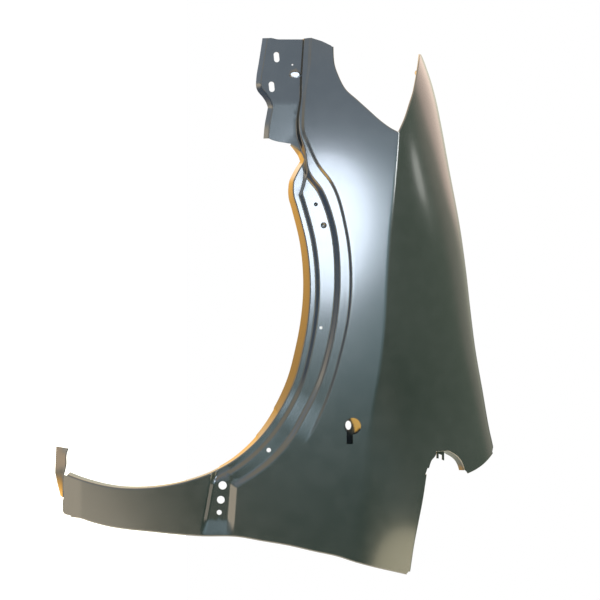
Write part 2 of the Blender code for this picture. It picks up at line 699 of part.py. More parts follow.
def side_flange(mesh, chain, splay, depth):
    """A flange turned inboard with a tight fold; splay and depth follow the angle about the wheel."""
    profiles = []
    for corner, (out_x, out_z) in zip(chain, outward_normals(chain)):
        angle = polar((corner.co.x, corner.co.z))[0]
        rows = fold_rows() + [(FOLD_RADIUS + splay(angle), depth(angle))]
        profiles.append([Vector((out_x * away, inboard, out_z * away)) for away, inboard in rows])
    return turn_flange(mesh, chain, profiles)


def fork_tab(mesh, chain, tips):
    """Two short prongs that point rearward from the notch flange."""
    spots = [(corner.co.x, corner.co.z) for corner in chain]
    first = min(range(len(spots)), key=lambda index: math.dist(spots[index], fork_points()[0]))
    root = tips[first:first + len(fork_points())]
    base = [mesh.verts.new(corner.co + Vector((FORK_TAB_LENGTH, 0.0, 0.0))) for corner in root]
    ends = [mesh.verts.new(corner.co + Vector((FORK_PRONG_LENGTH, 0.0, 0.0))) for corner in base]
    for index in range(len(root) - 1):
        add_face(mesh, [root[index + 1], root[index], base[index], base[index + 1]])
    for index in range(0, len(root) - 1, 2):
        add_face(mesh, [base[index + 1], base[index], ends[index], ends[index + 1]])


def sill_tab(mesh, rows):
    """The tab that carries the sill flange on past the arm, towards the wheel."""
    along = (rows[0][0].co - rows[0][1].co).normalized() * SILL_TAB_LENGTH
    root = [row[0] for row in rows]
    before = root
    for share, flare in SILL_TAB_SHARES:
        after = []
        for index, corner in enumerate(root):
            rise = SILL_TAB_FLARE * flare * (1 - index / (len(root) - 1))
            after.append(mesh.verts.new(corner.co + along * share + Vector((0.0, 0.0, rise))))
        for index in range(len(root) - 1):
            add_face(mesh, [before[index], after[index], after[index + 1], before[index + 1]])
        before = after


def bonnet_rows():
    """Down from the bonnet line, then inboard along the ledge."""
    rows = [(inboard, down) for inboard, down in fold_rows()]
    foot = BONNET_WALL_DEPTH
    rows += [(FOLD_RADIUS, foot - FOLD_RADIUS), (FOLD_RADIUS + FOLD_RADIUS, foot)]
    return rows + [(FOLD_RADIUS + BONNET_LEDGE_WIDTH, foot)]


def bonnet_flange(mesh, chain):
    """The hidden wall below the bonnet line and the ledge that is bolted down."""
    profile = [Vector((0.0, inboard, -down)) for inboard, down in bonnet_rows()]
    return turn_flange(mesh, chain, [profile] * len(chain))


def origin():
    """The middle of the front mounting flange, seen from the wheel centre."""
    x, z = scaled([SEAT_SHARES])[0]
    return Vector((x, pressed(x, z), z))


def raise_sheet(verts, faces, runs):
    """The flat blank brought to its pressed form, with every flange turned."""
    mesh = bmesh.new()
    for x, z in verts:
        mesh.verts.new((x, pressed(x, z), z))
    mesh.verts.ensure_lookup_table()
    mesh.verts.index_update()
    for face in faces:
        add_face(mesh, [mesh.verts[index] for index in face])
    flanges = {
        "arch": (lambda angle: ARCH_FLANGE_DEPTH * splay_share(angle),
                 lambda angle: ARCH_FLANGE_DEPTH * flange_start(angle)),
        "sill": (lambda angle: SILL_FLANGE_SPLAY * sill_splay_share(angle), lambda angle: SILL_FLANGE_DEPTH),
        "door": (lambda angle: 0.0, lambda angle: DOOR_FLANGE_DEPTH),
        "pillar": (lambda angle: 0.0, lambda angle: DOOR_FLANGE_DEPTH),
        "notch": (lambda angle: NOTCH_FLANGE_SPLAY, lambda angle: NOTCH_FLANGE_DEPTH),
        "lobe": (lambda angle: 0.0, lambda angle: DOOR_FLANGE_DEPTH),
        "lamp": (lambda angle: 0.0, lambda angle: LAMP_FLANGE_DEPTH),
        "lip": (lambda angle: LIP_SPLAY, lambda angle: LIP_DEPTH),
    }
    found = {name: chains(mesh, runs, name) for name in list(flanges) + ["bonnet"]}
    for name, (splay, depth) in flanges.items():
        for chain in found[name]:
            rows = side_flange(mesh, chain, splay, depth)
            if name == "notch":
                fork_tab(mesh, chain, rows[-1])
            if name == "sill":
                sill_tab(mesh, rows)
    for chain in found["bonnet"]:
        bonnet_flange(mesh, chain)
    for corner in [corner for corner in mesh.verts if not corner.link_faces]:
        mesh.verts.remove(corner)
    mesh.normal_update()
    for edge in mesh.edges:
        edge.smooth = not edge.is_boundary and edge.calc_face_angle() < math.radians(SHARP_ANGLE)
    bmesh.ops.translate(mesh, vec=-origin(), verts=mesh.verts)
    return mesh


def painted_steel():
    material = bpy.data.materials.new("black_primer")
    material.use_nodes = True
    shader = material.node_tree.nodes["Principled BSDF"]
    shader.inputs["Base Color"].default_value = PANEL_COLOUR
    shader.inputs["Roughness"].default_value = PANEL_ROUGHNESS
    shader.inputs["Metallic"].default_value = PANEL_METALLIC
    return material


def round_cutter(name, place):
    """A rod along Z that cuts a bolt hole."""
    mesh = bmesh.new()
    bmesh.ops.create_cone(mesh, cap_ends=True, segments=CUTTER_SIDES, radius1=BONNET_HOLE_DIAMETER / 2,
                          radius2=BONNET_HOLE_DIAMETER / 2, depth=CUTTER_HEIGHT)
    data = bpy.data.meshes.new(name)
    mesh.to_mesh(data)
    mesh.free()
    cutter = bpy.data.objects.new(name, data)
    bpy.context.scene.collection.objects.link(cutter)
    cutter.location = place
    cutter.hide_render = True
    cutter.display_type = "WIRE"
    return cutter


def ledge_middle(x):
    """The middle of the bonnet ledge, seen from the origin."""
    z = bonnet_height(x)
    (inner, down), (outer, down) = bonnet_rows()[-2:]
    return Vector((x, pressed(x, z) + (inner + outer) / 2, z - down)) - origin()


def build_panel():
    verts, faces, runs = flat_blank()
    mesh = raise_sheet(verts, faces, runs)
    data = bpy.data.meshes.new("fender_panel")
    mesh.to_mesh(data)
    mesh.free()
    data.materials.append(painted_steel())
    panel = bpy.data.objects.new("fender_panel", data)
    bpy.context.scene.collection.objects.link(panel)
    wall = panel.modifiers.new("Sheet", "SOLIDIFY")
    wall.thickness = SHEET_THICKNESS
    wall.offset = -1.0
    wall.use_even_offset = True
    wall.thickness_clamp = 1.0
    for number, share in enumerate(BONNET_HOLE_SHARES, start=1):
        cut = panel.modifiers.new("Bolt hole " + str(number), "BOOLEAN")
        cut.operation = "DIFFERENCE"
        cut.solver = "EXACT"
        cut.object = round_cutter("bonnet_hole_cutter_" + str(number), ledge_middle(along(share)))


def main():
    clear_scene()
    build_panel()


main()
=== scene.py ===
"""Dresses the left front fender: a fine pressed sheet in black primer, on a plain pale stage."""
import bisect
import math

import bmesh
import bpy
import numpy as np
from mathutils import Matrix, Vector, kdtree
from mathutils.geometry import delaunay_2d_cdt


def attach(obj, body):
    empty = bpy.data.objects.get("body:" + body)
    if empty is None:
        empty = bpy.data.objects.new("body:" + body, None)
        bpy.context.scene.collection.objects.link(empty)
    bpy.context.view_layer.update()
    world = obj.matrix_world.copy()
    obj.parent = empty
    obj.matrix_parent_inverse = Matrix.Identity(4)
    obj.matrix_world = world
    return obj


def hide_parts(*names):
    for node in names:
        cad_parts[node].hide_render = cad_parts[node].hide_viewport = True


bl_info = {
    "name": "Pressed Steel Fender",
    "version": (1, 0, 0),
    "blender": (4, 5, 0),
    "location": "View3D > Sidebar > Fender",
    "description": "Builds a primed steel fender panel with its pressings, flanges and studio",
    "category": "Object",
}

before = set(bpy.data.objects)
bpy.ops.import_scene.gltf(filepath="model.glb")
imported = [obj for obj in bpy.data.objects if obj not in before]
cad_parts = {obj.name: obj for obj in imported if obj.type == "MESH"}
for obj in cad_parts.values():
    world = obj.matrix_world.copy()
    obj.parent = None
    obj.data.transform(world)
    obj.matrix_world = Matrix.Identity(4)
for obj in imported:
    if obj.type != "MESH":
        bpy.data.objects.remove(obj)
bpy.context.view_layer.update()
PANEL_NODE = "fender_panel"
PAINT_SLOT = "black_primer"


# Overall sizes: how far the sheet reaches past the wheel arch, and its thickness
FRONT_REACH = 0.155
REAR_REACH = 0.155
TOP_REACH = 0.335
SHEET_THICKNESS = 0.0008

# Spacing of the fine mesh
STATION_STEP = 0.006
CORNER_STEP = 0.003
LOBE_STEP = CORNER_STEP * 1.5
LINE_STEP = 0.0042
GRID_STEP = 0.0068
LINE_CLEARANCE_SHARE = 0.55
HOLE_STEPS = 28
OVERRUN = 0.012

# Radii of the bends
WALL_BEND = 0.0018
STEP_BEND = 0.0012
PAD_BEND = 0.0025
PLATE_BEND = 0.006
CREASE_BEND = 0.0035
CREASE_FADE = 0.012
CREASE_FADE_START = 0.150
CREASE_FADE_LENGTH = 0.300
CORNER_ROUND = 0.004
FOLD_STEPS = 6

# Form of the outer side
FRONT_TUCK = 0.0556
TUCK_REACH = 0.490
TUCK_START = 0.050
TUCK_POWER = 2.5
CROWN_DROP = 0.0094
CROWN_REACH = 0.250
CROWN_HEIGHT = 0.186
SHOULDER_DEPTH = 0.127
SHOULDER_EDGE_SHARE = 0.985

# Wheel arch, from the wheel centre out
ARCH_RADIUS = 0.305
ARCH_LAND = 0.0075
CLIP_WALL_WIDTH = 0.0070
CLIP_WALL_DROP = 0.0040
BAND_REACH = 0.043
BAND_WALL_WIDTH = 0.0084
BAND_WALL_DROP = 0.0070
PAD_END_DROP = 0.0032
DROP_FADE_ANGLES = (38.0, 62.0)
CLADDING_REACH = 0.066
CLADDING_STEP_WIDTH = 0.0040
CLADDING_STEP_DROP = 0.0025
ARCH_FLANGE_DEPTH = 0.026
FOLD_RADIUS = 0.0026

# Front mounting flange
BRACKET_DROP = 0.0120
BRACKET_WALL_WIDTH = 0.0050
RIDGE_WIDTH = 0.0060
LIP_DEPTH = 0.0075
LIP_SPLAY = 0.0074
SLOT_WIDTH = 0.0092
SLOT_LENGTH = 0.0185
PIN_HOLE_DIAMETER = 0.0030
BEAD_HEIGHT = 0.0018
BEAD_HALF_LENGTH = 0.0105
BEAD_HALF_WIDTH = 0.0062
BEAD_TILTS = (0.27, 0.06)
BEAD_EDGE_SHARE = 0.30

# Rear leg with its three-hole pad and the sill flange
PAD_LEFT_RAMP = 0.0080
PAD_RIGHT_RAMP = 0.0110
PAD_FOOT_RAMP = 0.0240
PAD_HOLE_DIAMETERS = (0.0140, 0.0130, 0.0085)
SILL_FLANGE_DEPTH = 0.022
SILL_FLANGE_SPLAY = 0.017
SILL_TAB_LENGTH = 0.045
SILL_TAB_FLARE = 0.006
SILL_TAB_SHARES = ((0.35, 0.55), (0.80, 0.55), (1.0, 1.0))

# Edges
DOOR_FLANGE_DEPTH = 0.012
LAMP_FLANGE_DEPTH = 0.006
NOTCH_FLANGE_DEPTH = 0.016
NOTCH_FLANGE_SPLAY = 0.006
NOTCH_SPLAY_RADII = (0.583, 0.600)
BONNET_WALL_DEPTH = 0.020
BONNET_LEDGE_WIDTH = 0.024
BONNET_HOLE_DIAMETER = 0.0085
FORK_TAB_LENGTH = 0.005
FORK_PRONG_LENGTH = 0.008
FORK_PRONG_WIDTH = 0.004
FORK_GAP = 0.006

# Holes in the side
REPEATER_DIAMETER = 0.028
REPEATER_SLOT_WIDTH = 0.0105
REPEATER_SLOT_REACH = 0.030
REPEATER_SLOT_SHIFT = -0.005
CLIP_HOLE_DIAMETERS = (0.0068, 0.0105, 0.0050, 0.0075)

# Angles are in degrees about the wheel centre, from straight up towards the rear
FOLD_SHARES = (
    (-44.6, 1.246), (-42.7, 1.258), (-41.2, 1.260), (-39.8, 1.252), (-38.5, 1.233),
    (-37.8, 1.190), (-37.1, 1.160), (-36.3, 1.130), (-35.0, 1.105), (-33.0, 1.081),
    (-29.7, 1.064), (-17.3, 1.026), (-3.2, 1.001), (6.6, 0.994),
    (16.5, 0.999), (26.4, 1.018), (36.3, 1.034), (47.3, 1.053), (60.6, 1.062),
    (71.9, 1.055), (86.3, 1.049), (94.5, 1.047), (103.6, 1.040), (112.0, 1.036),
)
ARCH_START_ANGLE = -44.6
ARCH_CORNER_ANGLE = -32.0
ARCH_END_ANGLE = 110.0
FLANGE_SPLAY_SHARES = (
    (-44.6, 0.0), (-42.7, 0.16), (-41.0, 0.22), (-36.0, 0.28), (-20.0, 0.36), (5.0, 0.44), (25.0, 0.46),
    (45.0, 0.30), (60.0, 0.16), (86.0, 0.12), (112.0, 0.16),
)
BAND_SHARES = (
    (-36.5, 0.52), (-29.8, 1.04), (-21.6, 1.12), (-5.8, 1.04), (3.0, 1.00), (14.4, 0.95),
    (24.0, 0.89), (33.7, 0.84), (41.3, 0.88), (49.0, 0.85), (59.3, 0.78), (75.0, 0.78),
)
CLADDING_SHARES = (
    (-36.4, 0.72), (-30.1, 1.06), (-18.9, 1.08), (-6.9, 1.055), (4.9, 1.015),
    (13.5, 0.965), (21.9, 0.94), (35.0, 0.97), (45.0, 1.02),
)
CLADDING_END_ANGLE = 40.0
CLADDING_FADE_ANGLE = 12.0
FLANGE_START_SHARES = ((-44.6, 0.35), (-43.2, 0.62), (-41.0, 1.0))
CLIP_MERGE_SHARES = ((-36.9, 0.95), (-34.6, 0.5), (-32.1, 0.0))
BRACKET_FULL_ANGLE = -46.0
BRACKET_NONE_ANGLE = -38.0
CLIP_HOLE_ANGLES = (-27.4, -21.2, 8.3, 47.3)
CLIP_HOLE_SHARES = (0.58, 0.66, 0.30, 0.46)

# Outline points as shares of the panel's length and height from the wheel centre.
# The arch ends at its own shares, and what lies beyond it follows the reaches.
ARCH_END_SHARES = (0.3315, 0.4013)
PANEL_END_SHARES = (0.5000, 0.8421)
BONNET_LINE_SHARES = (
    (-0.500, 0.664), (-0.4626, 0.6792), (-0.4277, 0.6920), (-0.3911, 0.7022),
    (-0.3507, 0.7109), (-0.2548, 0.7297), (-0.1365, 0.7542), (-0.0584, 0.7664),
    (0.0195, 0.7764), (0.0971, 0.7878), (0.1746, 0.8037), (0.2520, 0.8197),
    (0.2838, 0.8280), (0.3300, 0.8340), (0.5100, 0.8420),
)
BONNET_START_SHARE = -0.4560
BONNET_END_SHARE = 0.2838
CREASE_SHARES = (
    (-0.500, 0.6070), (-0.3721, 0.6013), (-0.3093, 0.5983), (-0.2063, 0.5868),
    (-0.1212, 0.5764), (-0.0300, 0.5690), (0.0550, 0.5628), (0.1466, 0.5493),
    (0.1980, 0.5383), (0.2748, 0.5271), (0.3297, 0.5226), (0.4540, 0.5004), (0.5100, 0.4910),
)
CREASE_SLOPE_SHARES = ((-0.50, 0.37), (0.15, 0.37), (0.33, 0.30), (0.45, 0.16), (0.52, 0.12))
SHOULDER_SHARES = ((-0.50, 1.10), (-0.27, 1.07), (0.0, 0.99), (0.28, 0.87), (0.52, 0.80))
LAMP_CURVE_SHARES = (
    (-0.4750, 0.4492), (-0.4550, 0.4497), (-0.4396, 0.4517), (-0.4190, 0.4597),
    (-0.3902, 0.4775), (-0.3712, 0.5021), (-0.3524, 0.5267), (-0.3336, 0.5513),
    (-0.3160, 0.5800), (-0.3093, 0.5955),
)
HORN_CURVE_SHARES = (
    (-0.3115, 0.6000), (-0.3399, 0.6153), (-0.3688, 0.6272), (-0.3917, 0.6366),
    (-0.4162, 0.6437), (-0.4470, 0.6515), (-0.4780, 0.6592),
)
HORN_TIP_SHARES = ((-0.4810, 0.6630), (-0.4700, 0.6728))
LOBE_SHARES = (
    (0.2928, 0.8243), (0.3000, 0.8149), (0.3126, 0.7943), (0.3220, 0.7700), (0.3251, 0.7586),
)
NOTCH_REAR_SHARES = ((0.3205, 0.7525), (0.3130, 0.7500), (0.2957, 0.7380), (0.2840, 0.7190))
NOTCH_FRONT_SHARES = ((0.2880, 0.6800), (0.2970, 0.6705), (0.3120, 0.6635))
FORK_CENTRE_SHARES = (0.2805, 0.6960)
PILLAR_SHARES = ((0.3240, 0.6580), (0.3717, 0.6486), (0.4086, 0.6393), (0.4453, 0.6301), (0.5010, 0.6193))
DOOR_LINE_SHARES = (
    (0.5042, 0.6150), (0.4759, 0.4916), (0.4684, 0.4649), (0.4570, 0.4051), (0.4465, 0.3513),
    (0.4374, 0.2879), (0.4310, 0.2450), (0.4292, 0.1551), (0.4224, 0.0549), (0.4111, -0.0563),
    (0.4040, -0.0900), (0.3985, -0.1110), (0.3965, -0.1330),
)
ARM_FOOT_SHARES = ((0.3935, -0.1480), (0.3890, -0.1520), (0.3680, -0.1520))
ARM_END_SHARES = ((0.3630, -0.1492), (0.3400, -0.1496), (0.3215, -0.1488))
SILL_SPLAY_SHARES = ((107.5, 0.20), (109.5, 0.60), (111.0, 1.0))
FRONT_EDGE_SHARES = (
    (-0.4770, 0.4470), (-0.4855, 0.4270), (-0.4930, 0.3990), (-0.4910, 0.3850), (-0.4910, 0.3250),
)
FRONT_CORNER_SHARES = ((-0.4940, 0.3110),)
LIP_LINE_SHARES = (
    (-0.4935, 0.3034), (-0.4720, 0.2999), (-0.4460, 0.2954), (-0.4130, 0.2899),
    (-0.4000, 0.2899), (-0.3860, 0.3024), (-0.3720, 0.3124), (-0.3600, 0.3164),
    (-0.3480, 0.3144), (-0.3270, 0.3099), (-0.3000, 0.3069),
)
BRACKET_FOOT_SHARES = ((-0.2975, 0.3120), (-0.2945, 0.3240))
VALLEY_SHARES = ((-0.5100, 0.3850), (-0.4825, 0.3836), (-0.4063, 0.3783), (-0.3745, 0.3775),
                 (-0.3412, 0.3715), (-0.3154, 0.3715), (-0.2770, 0.3835))
RIDGE_SHARES = ((-0.5100, 0.4030), (-0.4815, 0.4013), (-0.4402, 0.3996), (-0.3960, 0.3910),
                (-0.3520, 0.3864), (-0.3184, 0.3857), (-0.2887, 0.3975))
BRACKET_FOLD_SHARE = -0.3690
BRACKET_FOLD_SPAN_SHARES = (0.330, 0.368)
BRACKET_SLOPES = (-0.22, -0.12)
BRACKET_REFERENCE_SHARE = 0.380
SLOT_PLACE_SHARES = ((-0.4562, 0.3230), (-0.3985, 0.3122))
SLOT_LEAN = 0.10
PIN_HOLE_SHARES = (-0.4412, 0.3590)
BEAD_SHARES = (-0.4222, 0.3650)
SEAT_SHARES = (-0.4270, 0.3260)
PAD_LEFT_SHARES = ((0.3337, 0.1817), (0.4322, 0.1602))
PAD_RIGHT_SHARES = ((0.3150, 0.2316), (0.4311, 0.2214))
PAD_FOOT_SHARE = 0.4030
PAD_HOLE_SHARES = (0.17, 0.41, 0.62)
REPEATER_SHARES = (0.2310, 0.4930)
BONNET_HOLE_SHARES = (-0.400, -0.160, 0.060, 0.235)

# Rows of the mesh, small marks of the pressing, and the fittings behind the holes
CUTTER_HEIGHT = 0.012
SHOULDER_LINE_SHARES = (0.80, 0.88, 0.93, 0.965, 0.985)
FLANGE_ROW_SHARES = (0.25, 0.50, 0.75, 1.0)
LEDGE_ROW_SHARES = (0.33, 0.67, 1.0)
BEAD_RING_SHARES = (1.0, 0.9, 0.8, 0.7, 0.45, 0.2)
JOGGLE_ANGLES = (37.4, 47.6, 62.4)
JOGGLE_HALF_ANGLE = 0.35
JOGGLE_STEP = 0.0012
ARM_BEND_SHARE = -0.1115
ARM_BEND_SLOPE = 0.07
ARM_BEND_ROUND = 0.004
HOLE_MARK = "bolt_hole"
SOCKET_COUNT = 2
SOCKET_DEPTH = 0.009
SOCKET_WIDTH_SHARE = 0.62
PIECE_OVERLAP = 0.0003
SEAT_WALL = 0.0015
SEAT_SLOPES = (0.276, 0.386)
SEAT_OVERLAP = 1.12
SEAT_OVAL = (0.0050, 0.0080)
SEAT_OVAL_SHIFT = -0.0069
SEAT_ROW_SHARES = (0.0, 0.5, 1.0)
MERGE_DISTANCE = 0.000001
WELD_DISTANCE = SHEET_THICKNESS / 40
BEND_LIMIT_SHARE = 0.45
TAB_ROWS = 12

# Normals of the outer face are taken from the true form where they turn less than the limit
NORMAL_STEP = 0.0002
NORMAL_REACH = 0.00002
NORMAL_LIMIT_ANGLE = 25.0

# Primer: scale and detail of each noise, the part of it that is used, and how far each one reaches
CLOUD_NOISE = (5.0, 3.0)
FILM_NOISE = (46.0, 2.0)
PEEL_NOISE = (230.0, 1.0)
NOISE_RANGE = (0.3, 0.7)
CLOUD_TONE, FILM_TONE = 0.6, 0.4
CLOUD_GLOSS, FILM_GLOSS = 0.016, 0.012
PEEL_DISTANCE = 0.0002

# Floor: its middle, its faint clouds and its two tones
FLOOR_MIDDLE = (0.4, 0.05)
FLOOR_NOISE = (1.4, 2.0)
FLOOR_RANGE = (0.2, 0.8)
FLOOR_TONES = ((0.76, 0.755, 0.74, 1.0), (0.80, 0.795, 0.78, 1.0))
FLOOR_ROUGHNESS = 0.9
FLOOR_GLOW = 0.9

# Camera and soft lights: name, place, target, size, colour and share of the key's brightness
SENSOR_WIDTH = 36.0
CAMERA_TARGET = (0.39284, -0.05665, 0.03824)
CARDS = (
    ("key_light", (-0.16, -2.2, 0.30), (0.3, 0.0, 0.115), (1.06, 0.54), (0.79, 0.87, 1.0), 0.67),
    ("key_halo", (-0.15, -2.25, 0.20), (0.3, 0.0, 0.115), (1.20, 1.00), (0.74, 0.84, 1.0), 0.13),
    ("crease_light", (-0.45, -1.5, 1.60), (0.17, 0.0, 0.21), (0.62, 0.20), (0.95, 0.98, 1.0), 1.3),
    ("top_light", (-0.26, -0.10, 2.2), (0.15, 0.05, 0.25), (0.30, 0.20), (1.0, 1.0, 0.95), 0.17),
    ("corner_light", (0.975, -0.30, 0.415), (0.82, 0.0, 0.20), (0.31, 0.34), (1.0, 0.88, 0.60), 0.145),
)
# The room that the paint reflects: axis, where a tone starts and is full along it, and its colour
ROOM_TONES = (
    ((0.0, 0.0, -1.0), 0.03, 0.15, (1.0, 1.25, 1.25)),
    ((-1.0, 0.0, 0.0), 0.20, 0.50, (1.6, 1.9, 2.3)),
    ((0.0, 0.0, 1.0), 0.50, 0.62, (0.70, 0.86, 0.66)),
    ((0.3, 0.0, 1.0), 0.60, 0.80, (0.60, 0.76, 0.55)),
    ((1.0, 0.0, 0.0), 0.035, 0.100, (0.14, 0.28, 0.14)),
    ((0.36, -0.70, 0.62), 0.981, 0.993, (3.8, 3.4, 2.8)),
    ((0.8, 0.0, -0.6), 0.245, 0.300, (5.4, 4.7, 3.6)),
    ((0.35, 0.0, -1.0), 0.80, 0.92, (3.2, 3.0, 2.6)),
    ((-0.06, -0.5, -0.86), 0.93, 0.98, (0.34, 0.50, 0.80)),
    ((0.22, -0.45, -0.87), 0.90, 0.95, (0.40, 0.62, 1.0)),
    ((-0.55, -0.55, -0.63), 0.92, 0.97, (2.3, 2.0, 1.5)),
    ((-1.0, 0.0, 0.0), 0.65, 0.90, (3.2, 2.8, 2.2)),
    ((0.0, 1.0, 0.0), 0.05, 0.30, (1.0, 1.0, 0.80)),
    ((-0.6, 0.6, 0.55), 0.86, 0.92, (2.4, 1.9, 1.6)),
    ((0.45, -0.63, -0.63), 0.974, 0.992, (10.5, 5.8, 0.8)),
    ((0.15, 0.1, -1.0), 0.965, 0.99, (3.8, 2.9, 2.0)),
    ((0.0, 0.8, -0.6), 0.84, 0.95, (2.8, 1.5, 0.36)),
    ((-0.75, 0.6, -0.25), 0.78, 0.92, (3.6, 2.7, 1.8)),
)


def smooth_table(rows):
    """A smooth function through the rows (place, value), flat beyond its ends."""
    places = [float(row[0]) for row in rows]
    values = [float(row[1]) for row in rows]
    slopes = [float(slope) for slope in np.gradient(values, places)]

    def value(place):
        place = min(max(place, places[0]), places[-1])
        index = min(max(bisect.bisect_right(places, place) - 1, 0), len(places) - 2)
        span = places[index + 1] - places[index]
        t = (place - places[index]) / span
        rise = (2 * t ** 3 - 3 * t ** 2 + 1) * values[index]
        rise += (t ** 3 - 2 * t ** 2 + t) * span * slopes[index]
        rise += (3 * t ** 2 - 2 * t ** 3) * values[index + 1]
        return rise + (t ** 3 - t ** 2) * span * slopes[index + 1]

    return value


def smooth_step(value):
    value = min(max(value, 0.0), 1.0)
    return value * value * (3 - 2 * value)


def lift(value, bend):
    """Zero below zero and value above it, with the corner rounded over the bend."""
    if value <= -bend:
        return 0.0
    if value >= bend:
        return value
    return (value + bend) ** 2 / (4 * bend)


def ramp(value, width, bend):
    """A wall's rise from 0 to 1 over its width, centred on zero, with both bends rounded."""
    bend = min(bend, width * BEND_LIMIT_SHARE)
    return (lift(value + width / 2, bend) - lift(value - width / 2, bend)) / width


def beyond_arch(share, axis, reach):
    near, end = ARCH_END_SHARES[axis], PANEL_END_SHARES[axis]
    distance = min(abs(share) / near, 1.0) * ARCH_RADIUS
    distance += max(abs(share) - near, 0.0) / (end - near) * reach
    return math.copysign(distance, share)


def along(share):
    return beyond_arch(share, 0, FRONT_REACH if share < 0 else REAR_REACH)


def up(share):
    return beyond_arch(share, 1, TOP_REACH)


def scaled(shares):
    return [(along(x), up(z)) for x, z in shares]


def polar(point):
    return math.degrees(math.atan2(point[0], point[1])), math.hypot(point[0], point[1])


def on_ray(angle, radius):
    turn = math.radians(angle)
    return radius * math.sin(turn), radius * math.cos(turn)


bonnet_height = smooth_table(scaled(BONNET_LINE_SHARES))
crease_height = smooth_table(scaled(CREASE_SHARES))
crease_slope = smooth_table([(along(x), share) for x, share in CREASE_SLOPE_SHARES])
shoulder_share = smooth_table([(along(x), share) for x, share in SHOULDER_SHARES])
fold_share = smooth_table(FOLD_SHARES)
splay_share = smooth_table(FLANGE_SPLAY_SHARES)
sill_splay_share = smooth_table(SILL_SPLAY_SHARES)
flange_start = smooth_table(FLANGE_START_SHARES)
clip_merge = smooth_table(CLIP_MERGE_SHARES)


def fold_radius(angle):
    return ARCH_RADIUS * fold_share(angle)


def joined_line(bracket_shares, reach, arch_shares):
    """Radius by angle of a pressed line that runs down the bracket and round the arch."""
    rows = [polar(point) for point in scaled(bracket_shares)]
    rows += [(angle, fold_radius(angle) + reach * share) for angle, share in arch_shares]
    return smooth_table(rows)


band_radius = joined_line(VALLEY_SHARES, BAND_REACH, BAND_SHARES)
cladding_radius = joined_line(RIDGE_SHARES, CLADDING_REACH, CLADDING_SHARES)


def clip_radius(angle):
    """Middle of the wall between the clip band and the narrow land at the fold."""
    low = fold_radius(angle) + ARCH_LAND + CLIP_WALL_WIDTH / 2
    return low + (band_radius(angle) - low) * clip_merge(angle)


def bracket_part(angle):
    return 1 - smooth_step((angle - BRACKET_FULL_ANGLE) / (BRACKET_NONE_ANGLE - BRACKET_FULL_ANGLE))


def band_wall_width(angle):
    return BAND_WALL_WIDTH + (BRACKET_WALL_WIDTH - BAND_WALL_WIDTH) * bracket_part(angle)


def cladding_step_width(angle):
    return CLADDING_STEP_WIDTH + (RIDGE_WIDTH - CLADDING_STEP_WIDTH) * bracket_part(angle)


def band_drop(angle):
    """How deep the band lies below the side; it grows shallower towards the rear pad."""
    start, end = DROP_FADE_ANGLES
    return BAND_WALL_DROP + (PAD_END_DROP - BAND_WALL_DROP) * smooth_step((angle - start) / (end - start))


def crease_bend(x):
    """Half the width of the bend along the crease, which softens towards the rear."""
    return CREASE_BEND + CREASE_FADE * smooth_step((x - CREASE_FADE_START) / CREASE_FADE_LENGTH)


def skin(x, z):
    """Depth of the smooth outer form, before any step is pressed into it."""
    tuck = FRONT_TUCK * max((TUCK_START - x) / TUCK_REACH, 0.0) ** TUCK_POWER
    crown = CROWN_DROP * ((z - CROWN_HEIGHT) / CROWN_REACH) ** 2
    crease = crease_height(x)
    share = SHOULDER_EDGE_SHARE * lift(z - crease, crease_bend(x)) / (bonnet_height(x) - crease)
    share = min(max(share, 0.0), SHOULDER_EDGE_SHARE)
    slope = crease_slope(x)
    roll = slope * share + (1 - slope) * (1 - math.sqrt(1 - share * share))
    arm = ARM_BEND_SLOPE * lift(up(ARM_BEND_SHARE) - z, ARM_BEND_ROUND)
    return tuck + crown + arm + SHOULDER_DEPTH * shoulder_share(x) * roll


def bracket_plate(x):
    fold = along(BRACKET_FOLD_SHARE)
    level = skin(fold, up(BRACKET_REFERENCE_SHARE)) + BRACKET_DROP
    change = BRACKET_SLOPES[1] - BRACKET_SLOPES[0]
    return level + BRACKET_SLOPES[0] * (x - fold) + change * lift(x - fold, PLATE_BEND)


def line_height(shares, x):
    (x_0, z_0), (x_1, z_1) = scaled(shares)
    return z_0 + (z_1 - z_0) * (x - x_0) / (x_1 - x_0)


def pad_left(x):
    return line_height(PAD_LEFT_SHARES, x)


def pad_right(x):
    return line_height(PAD_RIGHT_SHARES, x)


def pad_centre():
    x = along((PAD_LEFT_SHARES[0][0] + PAD_FOOT_SHARE) / 2)
    return x, (pad_left(x) + pad_right(x)) / 2


def pad_end():
    """Where the door edge crosses the pad."""
    door = sorted((z, x) for x, z in scaled(DOOR_LINE_SHARES))
    return float(np.interp(pad_centre()[1], [z for z, x in door], [x for z, x in door]))


def pad_plane():
    x_0, z_0 = pad_centre()
    step = PAD_LEFT_RAMP
    slope_x = (skin(x_0 + step, z_0) - skin(x_0 - step, z_0)) / (2 * step)
    slope_z = (skin(x_0, z_0 + step) - skin(x_0, z_0 - step)) / (2 * step)
    level = skin(x_0, z_0) + PAD_END_DROP
    return x_0, z_0, level, slope_x, slope_z


PAD_PLANE = pad_plane()


def pad_floor(x, z):
    x_0, z_0, level, slope_x, slope_z = PAD_PLANE
    return level + slope_x * (x - x_0) + slope_z * (z - z_0)


def bead(x, z):
    """A small raised facet on the front flange, which leans towards the rear."""
    x_0, z_0 = scaled([BEAD_SHARES])[0]
    distance = math.hypot((x - x_0) / BEAD_HALF_WIDTH, (z - z_0) / BEAD_HALF_LENGTH)
    level = BEAD_HEIGHT - BEAD_TILTS[0] * (x - x_0) - BEAD_TILTS[1] * (z - z_0)
    return level * smooth_step((1 - distance) / BEAD_EDGE_SHARE)


